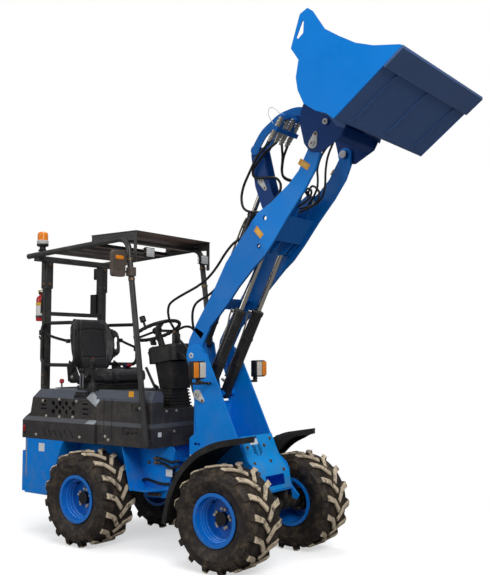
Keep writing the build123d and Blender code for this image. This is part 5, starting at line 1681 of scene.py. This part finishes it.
clipValues = {
    # height and reach of each hook
    "hooks": ((1.463, 0.055), (1.372, 0.03)), "hookRadius": 0.005,
    "boxes": [((-1.618, 0.262, 1.961), (-1.572, 0.318, 2.056), 0.006)],
    # points, radius and sides of the cables
    "hoses": [
        ([(-1.596, 0.29, 1.964), (-1.598, 0.291, 1.93), (-1.6, 0.288, 1.88), (-1.602, 0.289, 1.835)], 0.006, 8),
        ([(-1.56, -0.33, 2.128), (-1.545, -0.335, 2.11), (-1.53, -0.328, 2.04), (-1.528, -0.322, 1.95),
          (-1.5265, -0.32, 1.7), (-1.5265, -0.319, 1.45), (-1.5265, -0.318, 1.1)], 0.0045, 8),
    ],
}


def makeClips(values):
    # hooks behind the right post, the cable block on the left one, and the beacon's cable
    bm = bmesh.new()
    for z, reach in values["hooks"]:
        addBox(bm, (-1.576, -0.3, z - 0.02), (-1.568, -0.282, z + 0.012), 0.003)
        addHose(bm, [(-1.572, -0.291, z - 0.006), (-1.59, -0.291, z - 0.012),
                     (-1.585 - reach * 0.6, -0.291, z - 0.01), (-1.575 - reach, -0.291, z + 0.02)],
                values["hookRadius"], 8)
    addParts(bm, values)
    finishPiece("canopyClips", bm, ["blackPlastic"], "rear")


beaconValues = {
    "centre": (-1.56, -0.33, 0),
    "stalk": [(0, 2.1425), (0.034, 2.1425), (0.036, 2.146), (0.03, 2.152), (0.024, 2.162), (0.024, 2.176),
              (0.038, 2.18), (0.0455, 2.184), (0.0455, 2.198), (0.04, 2.2), (0, 2.2)],
    "ribs": 4, "ribFoot": 2.2005, "ribPitch": 0.0065, "rings": 7, "ringFoot": 2.229, "ringPitch": 0.0062,
    "crown": [(0.0405, 2.273), (0.0385, 2.283), (0.032, 2.2905), (0.02, 2.2945), (0, 2.2955)],
}


def makeBeacon(values):
    # an amber dome with inner rings over a white ribbed base, on a rubber stalk
    base = [(0, 2.1995), (0.0445, 2.1995)]
    for number in range(values["ribs"]):
        z = values["ribFoot"] + number * values["ribPitch"]
        base += [(0.045, z), (0.045, z + 0.0038), (0.0425, z + 0.0044), (0.0425, z + 0.0062)]
    base += [(0.041, 2.2275), (0, 2.2275)]
    dome = [(0, 2.226), (0.0405, 2.226)]
    for number in range(values["rings"]):
        z = values["ringFoot"] + number * values["ringPitch"]
        dome += [(0.0412, z), (0.0402, z + 0.0044)]
    bm = bmesh.new()
    for index, profile in enumerate((values["stalk"], base, dome + values["crown"])):
        addLathe(bm, values["centre"], (0, 0, 1), profile, 40, index)
    piece = finishPiece("beaconParts", bm, ["blackPlastic", "whitePlastic", "amberLens"], "rear")
    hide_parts("beacon")


extinguisherValues = {
    "centre": (-1.6083, -0.296, 0),
    "bottle": [(0, 1.597), (0.03, 1.597), (0.0355, 1.599), (0.0375, 1.606), (0.0375, 1.762), (0.036, 1.774),
               (0.029, 1.788), (0.018, 1.796), (0.014, 1.8), (0.014, 1.812), (0, 1.812)],
    "sleeve": [(0.0372, 1.64), (0.0379, 1.6405), (0.0379, 1.7195), (0.0372, 1.72)],
    # low and high corners, bevel, finish and lean: valve, two handles, bracket
    "boxes": [((-1.626, -0.306, 1.808), (-1.59, -0.286, 1.826), 0.004, 3, 0),
              ((-1.64, -0.303, 1.824), (-1.588, -0.289, 1.831), 0.002, 2, 0.18),
              ((-1.638, -0.303, 1.836), (-1.588, -0.289, 1.8425), 0.002, 2, -0.04),
              ((-1.5735, -0.31, 1.615), (-1.569, -0.282, 1.76), 0.001, 3, 0)],
    "gauge": [(0, 0), (0.011, 0), (0.011, 0.009), (0.009, 0.011), (0, 0.011)],
    "hose": [(-1.59, -0.296, 1.818), (-1.575, -0.303, 1.816), (-1.569, -0.318, 1.79), (-1.571, -0.322, 1.72),
             (-1.573, -0.322, 1.66)],
    # height and finish of the straps
    "straps": ((1.632, 3), (1.732, 2)),
    "strap": [(0.0375, -0.009), (0.0392, -0.0085), (0.0392, 0.0085), (0.0375, 0.009)],
}


def makeExtinguisher(values):
    # a red cylinder with a blank white sleeve, yellow valve parts and two straps on its bracket
    centre, up = Vector(values["centre"]), (0, 0, 1)
    bm = bmesh.new()
    addLathe(bm, centre, up, values["bottle"], 40)
    addLathe(bm, centre, up, values["sleeve"], 40, 1)
    for *box, lean in values["boxes"]:
        addBox(bm, *box, Matrix.Rotation(lean, 4, "Y"))
    addLathe(bm, (-1.6083, -0.305, 1.817), (0, -1, 0), values["gauge"], 20, 3)
    addHose(bm, values["hose"], 0.0055, 8, 3)
    for z, index in values["straps"]:
        addLathe(bm, centre + Vector((0, 0, z)), up, values["strap"], 40, index)
    piece = finishPiece("extinguisherParts", bm, ["redPaint", "whitePlastic", "yellowPlastic", "blackPaint"], "rear")
    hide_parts("fire_extinguisher")


workLampValues = {
    "names": ((-1, "workLampRight"), (1, "workLampLeft")), "y": 0.3,
    # x from and to, half width, z from and to, bevel, finish: housing, rim, tray
    "boxes": [(-0.462, -0.44, 0.044, 2.02, 2.09, 0.006, 0), (-0.442, -0.4345, 0.0445, 2.0195, 2.0905, 0.003, 0),
              (-0.4352, -0.4335, 0.0385, 2.0255, 2.0845, 0.0006, 1)],
    "rows": (2.041, 2.069), "columns": (-0.025, 0, 0.025), "fins": 6, "finFoot": 2.028, "finPitch": 0.0108,
    "cell": [(0, -0.001), (0.0115, -0.001), (0.0115, 0.0012), (0.0095, 0.0012), (0.004, -0.0002), (0, 0.0008)],
}


def makeWorkLamps(values):
    # each lamp: a finned housing, a tray of chromed reflectors and its bracket's bolt
    for side, name in values["names"]:
        middle = side * values["y"]
        bm = bmesh.new()
        for back, front, half, low, high, bevel, index in values["boxes"]:
            addBox(bm, (back, middle - half, low), (front, middle + half, high), bevel, index)
        for z in values["rows"]:
            for y in values["columns"]:
                addLathe(bm, (-0.434, middle + y, z), (1, 0, 0), values["cell"], 20, 2)
        for number in range(values["fins"]):
            z = values["finFoot"] + number * values["finPitch"]
            addBox(bm, (-0.4775, middle - 0.04, z - 0.0012), (-0.461, middle + 0.04, z + 0.0012))
        addRod(bm, (-0.452, middle - 0.0455, 2.055), (-0.452, middle + 0.0455, 2.055), 0.006, 6, 3)
        piece = finishPiece(name, bm, ["blackPlastic", "whitePlastic", "reflector", "boltBrown"], "rear")
        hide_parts("work_lamps")


mirrorValues = {
    # x, way, outline, thickness, bevel and finish of the shell, the glass and the amber lamp
    "plates": [
        (-0.5405, 1, roundOutline(rectangle(-0.549, 1.896, -0.461, 2.04), 0.014), 0.0075, 0.005, 0),
        (-0.5655, -1, roundOutline(rectangle(-0.548, 1.898, -0.462, 2.038), 0.009), 0.0015, 0.0005, 1),
        (-0.5335, 1, roundOutline([(-0.53, 2.01), (-0.48, 2.01)], 0.0135), 0.004, 0.0015, 2),
    ],
    # the crease and the arm's boss
    "boxes": [((-0.5335, -0.55, 1.93), (-0.531, -0.46, 1.9325))],
    "rods": [((-0.538, -0.446, 1.968), (-0.538, -0.434, 1.968), 0.011, 18)],
}


def makeMirror(values):
    # the mirror's shell with a crease and an amber lamp towards the front, its glass to the rear
    bm = bmesh.new()
    for plate in values["plates"]:
        addEndPlate(bm, *plate)
    addParts(bm, values)
    finishPiece("mirrorParts", bm, ["mirrorShell", "mirrorGlass", "amberLens"], "rear")


boltCanopy(canopyValues)
makeClips(clipValues)
makeBeacon(beaconValues)
makeExtinguisher(extinguisherValues)
makeWorkLamps(workLampValues)
makeMirror(mirrorValues)
print("canopy dressed")


# nose, lamps and fenders
noseLine = [(0.262, 0.8), (0.326, 0.66), (0.38, 0.606), (0.414, 0.54), (0.424, 0.452)]
noseValues = {
    "bolts": [(0.294, -0.137), (0.294, 0.047), (0.355, 0.041), (0.355, -0.141), (0.276, 0.137), (0.398, 0.13),
              (0.398, -0.15)], "boltSize": 0.01, "boltLift": 0.003,
    # name, low and high x, right and left y, height over the nose, thickness, finish, slot
    "plates": [("noseLabel", 0.272, 0.288, -0.094, -0.01, 0.003, 0.0015, "whiteLabel", "keeper_paint"),
               # the dark sheet under the louvres is painted shade
               ("louvreShadeSheet", 0.266, 0.318, -0.115, 0.04, -0.007, 0.003, "hoseRubber", "black_paint")],
}


def onNose(x):
    # the nose's outer surface above a point: its height and the way it faces
    for (x0, z0), (x1, z1) in zip(noseLine, noseLine[1:]):
        if x <= x1:
            break
    share = min(1.0, (x - x0) / (x1 - x0))
    return Vector((x, 0, z0 + (z1 - z0) * share)), Vector((z0 - z1, 0, x1 - x0)).normalized()


def dressNose(values):
    # bolts on the nose, a blank label and a dark sheet of painted shade behind its louvres
    bm = bmesh.new()
    for x, y in values["bolts"]:
        spot, out = onNose(x)
        addBolt(bm, spot + Vector((0, y, 0)) + out * values["boltLift"], out, values["boltSize"])
    finishPiece("noseBolts", bm, ["boltBrown"], "front")
    for name, low, high, right, left, lift, thickness, finish, slot in values["plates"]:
        bm = bmesh.new()
        (first, out), (second, out) = onNose(low), onNose(high)
        corners = ((first, right), (first, left), (second, left), (second, right))
        addPlate(bm, [spot + out * lift + Vector((0, y, 0)) for spot, y in corners], out, thickness)
        finishPiece(name, bm, [finish], "front")


headlampValues = {
    "names": ((-1, "headlampRight"), (1, "headlampLeft")), "lensY": 0.319, "amberY": 0.383, "middleY": 0.345,
    "low": 1.186, "high": 1.29,
    # y of the middle (a key), x from and to, half widths below and above, inset in height, bevel and finish
    "boxes": [("middleY", 0.01, 0.058, 0.0595, 0.0595, -0.0075, 0.008, 0),
              ("lensY", 0.052, 0.062, 0.031, 0.031, 0, 0.004, 0), ("amberY", 0.02, 0.062, 0.024, 0.024, 0, 0.004, 0),
              ("lensY", 0.058, 0.0632, 0.0275, 0.0275, 0.0035, 0.001, 1),
              ("lensY", 0.064, 0.0672, 0.029, 0.029, 0.002, 0.0015, 2),
              ("amberY", 0.018, 0.0672, 0.0225, 0.0235, 0.0015, 0.004, 3)],
    "bowl": [(0, -0.001), (0.023, -0.001), (0.0235, 0.0006), (0.016, 0.0003), (0.007, 0.0012), (0, 0.0016)],
    "ribs": 9, "ribPitch": 0.006, "ribRadius": 0.0012, "bars": 12, "barPitch": 0.008, "barRadius": 0.0014,
    # the bracket's place, way and size of bolts
    "bolts": [((0.012, 0.262, 1.1555), (0, 0, 1), 0.01), ((0.036, 0.319, 1.168), (1, 0, 0), 0.009),
              ((0.0365, 0.225, 1.148), (1, 0, 0), 0.006)],
}


def makeHeadlamps(values):
    # a rounded housing, a reflector under a ribbed clear lens, an amber corner, and the bracket
    low, high = values["low"], values["high"]
    for side, name in values["names"]:
        bm = bmesh.new()
        for key, back, front, under, over, inset, bevel, index in values["boxes"]:
            y = side * values[key]
            addBox(bm, (back, y - under, low + inset), (front, y + over, high - inset), bevel, index)
        inner, outer = side * values["lensY"], side * values["amberY"]
        bracket = side * (values["middleY"] / 2 + 0.092)
        addLathe(bm, (0.0632, inner, 1.246), (1, 0, 0), values["bowl"], 28, 1)
        for number in range(values["ribs"]):
            y = inner - 0.024 + number * values["ribPitch"]
            addRod(bm, (0.067, y, low + 0.006), (0.067, y, high - 0.006), values["ribRadius"], 6, 2)
        for number in range(values["bars"]):
            z = low + 0.008 + number * values["barPitch"]
            addRod(bm, (0.0668, outer - 0.018, z), (0.0668, outer + 0.018, z), values["barRadius"], 6, 3)
        addBox(bm, (-0.0135, bracket - 0.0695, 1.1405), (0.0375, bracket + 0.0695, 1.1555), 0.003)
        addBox(bm, (0.0145, inner - 0.0135, 1.1505), (0.0355, inner + 0.0135, 1.184), 0.002)
        for (x, y, z), way, size in values["bolts"]:
            addBolt(bm, (x, side * y, z), way, size, 4)
        piece = finishPiece(name, bm, ["blackPlastic", "reflector", "clearLens", "amberLens", "boltBrown"], "front")
        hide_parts("headlamps")


fenderValues = {
    "middles": (0.225, 0.33), "boltSize": 0.01,
    # x, z and facing of the bolts along the fender
    "bolts": [(0.283, 0.776, (-0.417, 0, 0.909)), (0.1166, 0.6667, (-0.68, 0, 0.733)),
              (0.0055, 0.5213, (-0.892, 0, 0.452))],
}


def boltFenders(values):
    bm = bmesh.new()
    for side in (-1, 1):
        for y in values["middles"]:
            for x, z, out in values["bolts"]:
                addBolt(bm, (x, side * y, z), out, values["boltSize"])
    finishPiece("fenderBolts", bm, ["boltBrown"], "front")


# wheels and axles
wheelValues = {
    "faceY": 0.445, "studs": 5, "studRing": 0.06, "studOut": 0.01, "valveAngle": 128, "valveRing": 0.118,
    "nut": [(0, -0.002), (0.0125, -0.002), (0.0125, 0.002), (0.0115, 0.004), (0.0105, 0.01), (0.006, 0.014),
            (0, 0.0148)],
    # radius and distance from the face of the dish's raised rings, and their section
    "rings": ((0.1265, 0.012), (0.132, 0.034), (0.1365, 0.055)),
    "bead": [(0.003, -0.006), (-0.001, -0.005), (-0.0045, -0.0015), (-0.0045, 0.0015), (-0.001, 0.005),
             (0.003, 0.006)],
}


def dressWheelFaces(values):
    # pale nuts, a valve and the dish's rings on each wheel
    for wheel, centre in wheelSpots.items():
        side = -1 if centre[1] < 0 else 1
        face, out = Vector((centre[0], side * values["faceY"], centre[2])), Vector((0, side, 0))
        bm = bmesh.new()
        for number in range(values["studs"]):
            angle = math.tau * number / values["studs"] + math.pi / 2
            spot = face + Vector((math.cos(angle), 0, math.sin(angle))) * values["studRing"] + out * values["studOut"]
            addLathe(bm, spot, out, values["nut"], 18)
        angle = math.radians(values["valveAngle"])
        spot = face + Vector((math.cos(angle), 0, math.sin(angle))) * values["valveRing"]
        addRod(bm, spot - out * 0.002, spot + out * 0.026, 0.0045, 12, 1, 0.001)
        for radius, reach in values["rings"]:
            addLathe(bm, face + out * reach, out, [(radius + r, h) for r, h in values["bead"]], 64, 2)
        finishPiece(f"{wheel}Nuts", bm, ["paleBolt", "blackPlastic", "rimRing"], f"{wheel}_wheel")


axleValues = {
    "axles": ((0.34, "front", "frontAxleParts"), (-0.9, "rear", "rearAxleParts")), "z": 0.33, "hubY": 0.3767,
    "hubBolts": 8, "hubRing": 0.06, "hubSize": 0.008, "caseRadius": 0.105, "caseSize": 0.01,
    "caseAngles": (0.25, 0.85, 1.45, 2.3, 2.9, 3.6, 5.4),
}


def dressAxles(values):
    # a ring of bolts at each hub and more round the axle's case
    for x, body, name in values["axles"]:
        bm = bmesh.new()
        for side in (-1, 1):
            for number in range(values["hubBolts"]):
                angle = math.tau * (number + 0.5) / values["hubBolts"]
                spot = (x + values["hubRing"] * math.cos(angle), side * values["hubY"],
                        values["z"] + values["hubRing"] * math.sin(angle))
                addBolt(bm, spot, (0, -side, 0), values["hubSize"])
        for angle in values["caseAngles"]:
            way = Vector((math.cos(angle), -0.25, math.sin(angle))).normalized()
            addBolt(bm, Vector((x, 0, values["z"])) + way * values["caseRadius"], way, values["caseSize"])
        finishPiece(name, bm, ["boltBrown"], body)


dressNose(noseValues)
makeHeadlamps(headlampValues)
boltFenders(fenderValues)
dressWheelFaces(wheelValues)
dressAxles(axleValues)
print("front frame and wheels dressed")
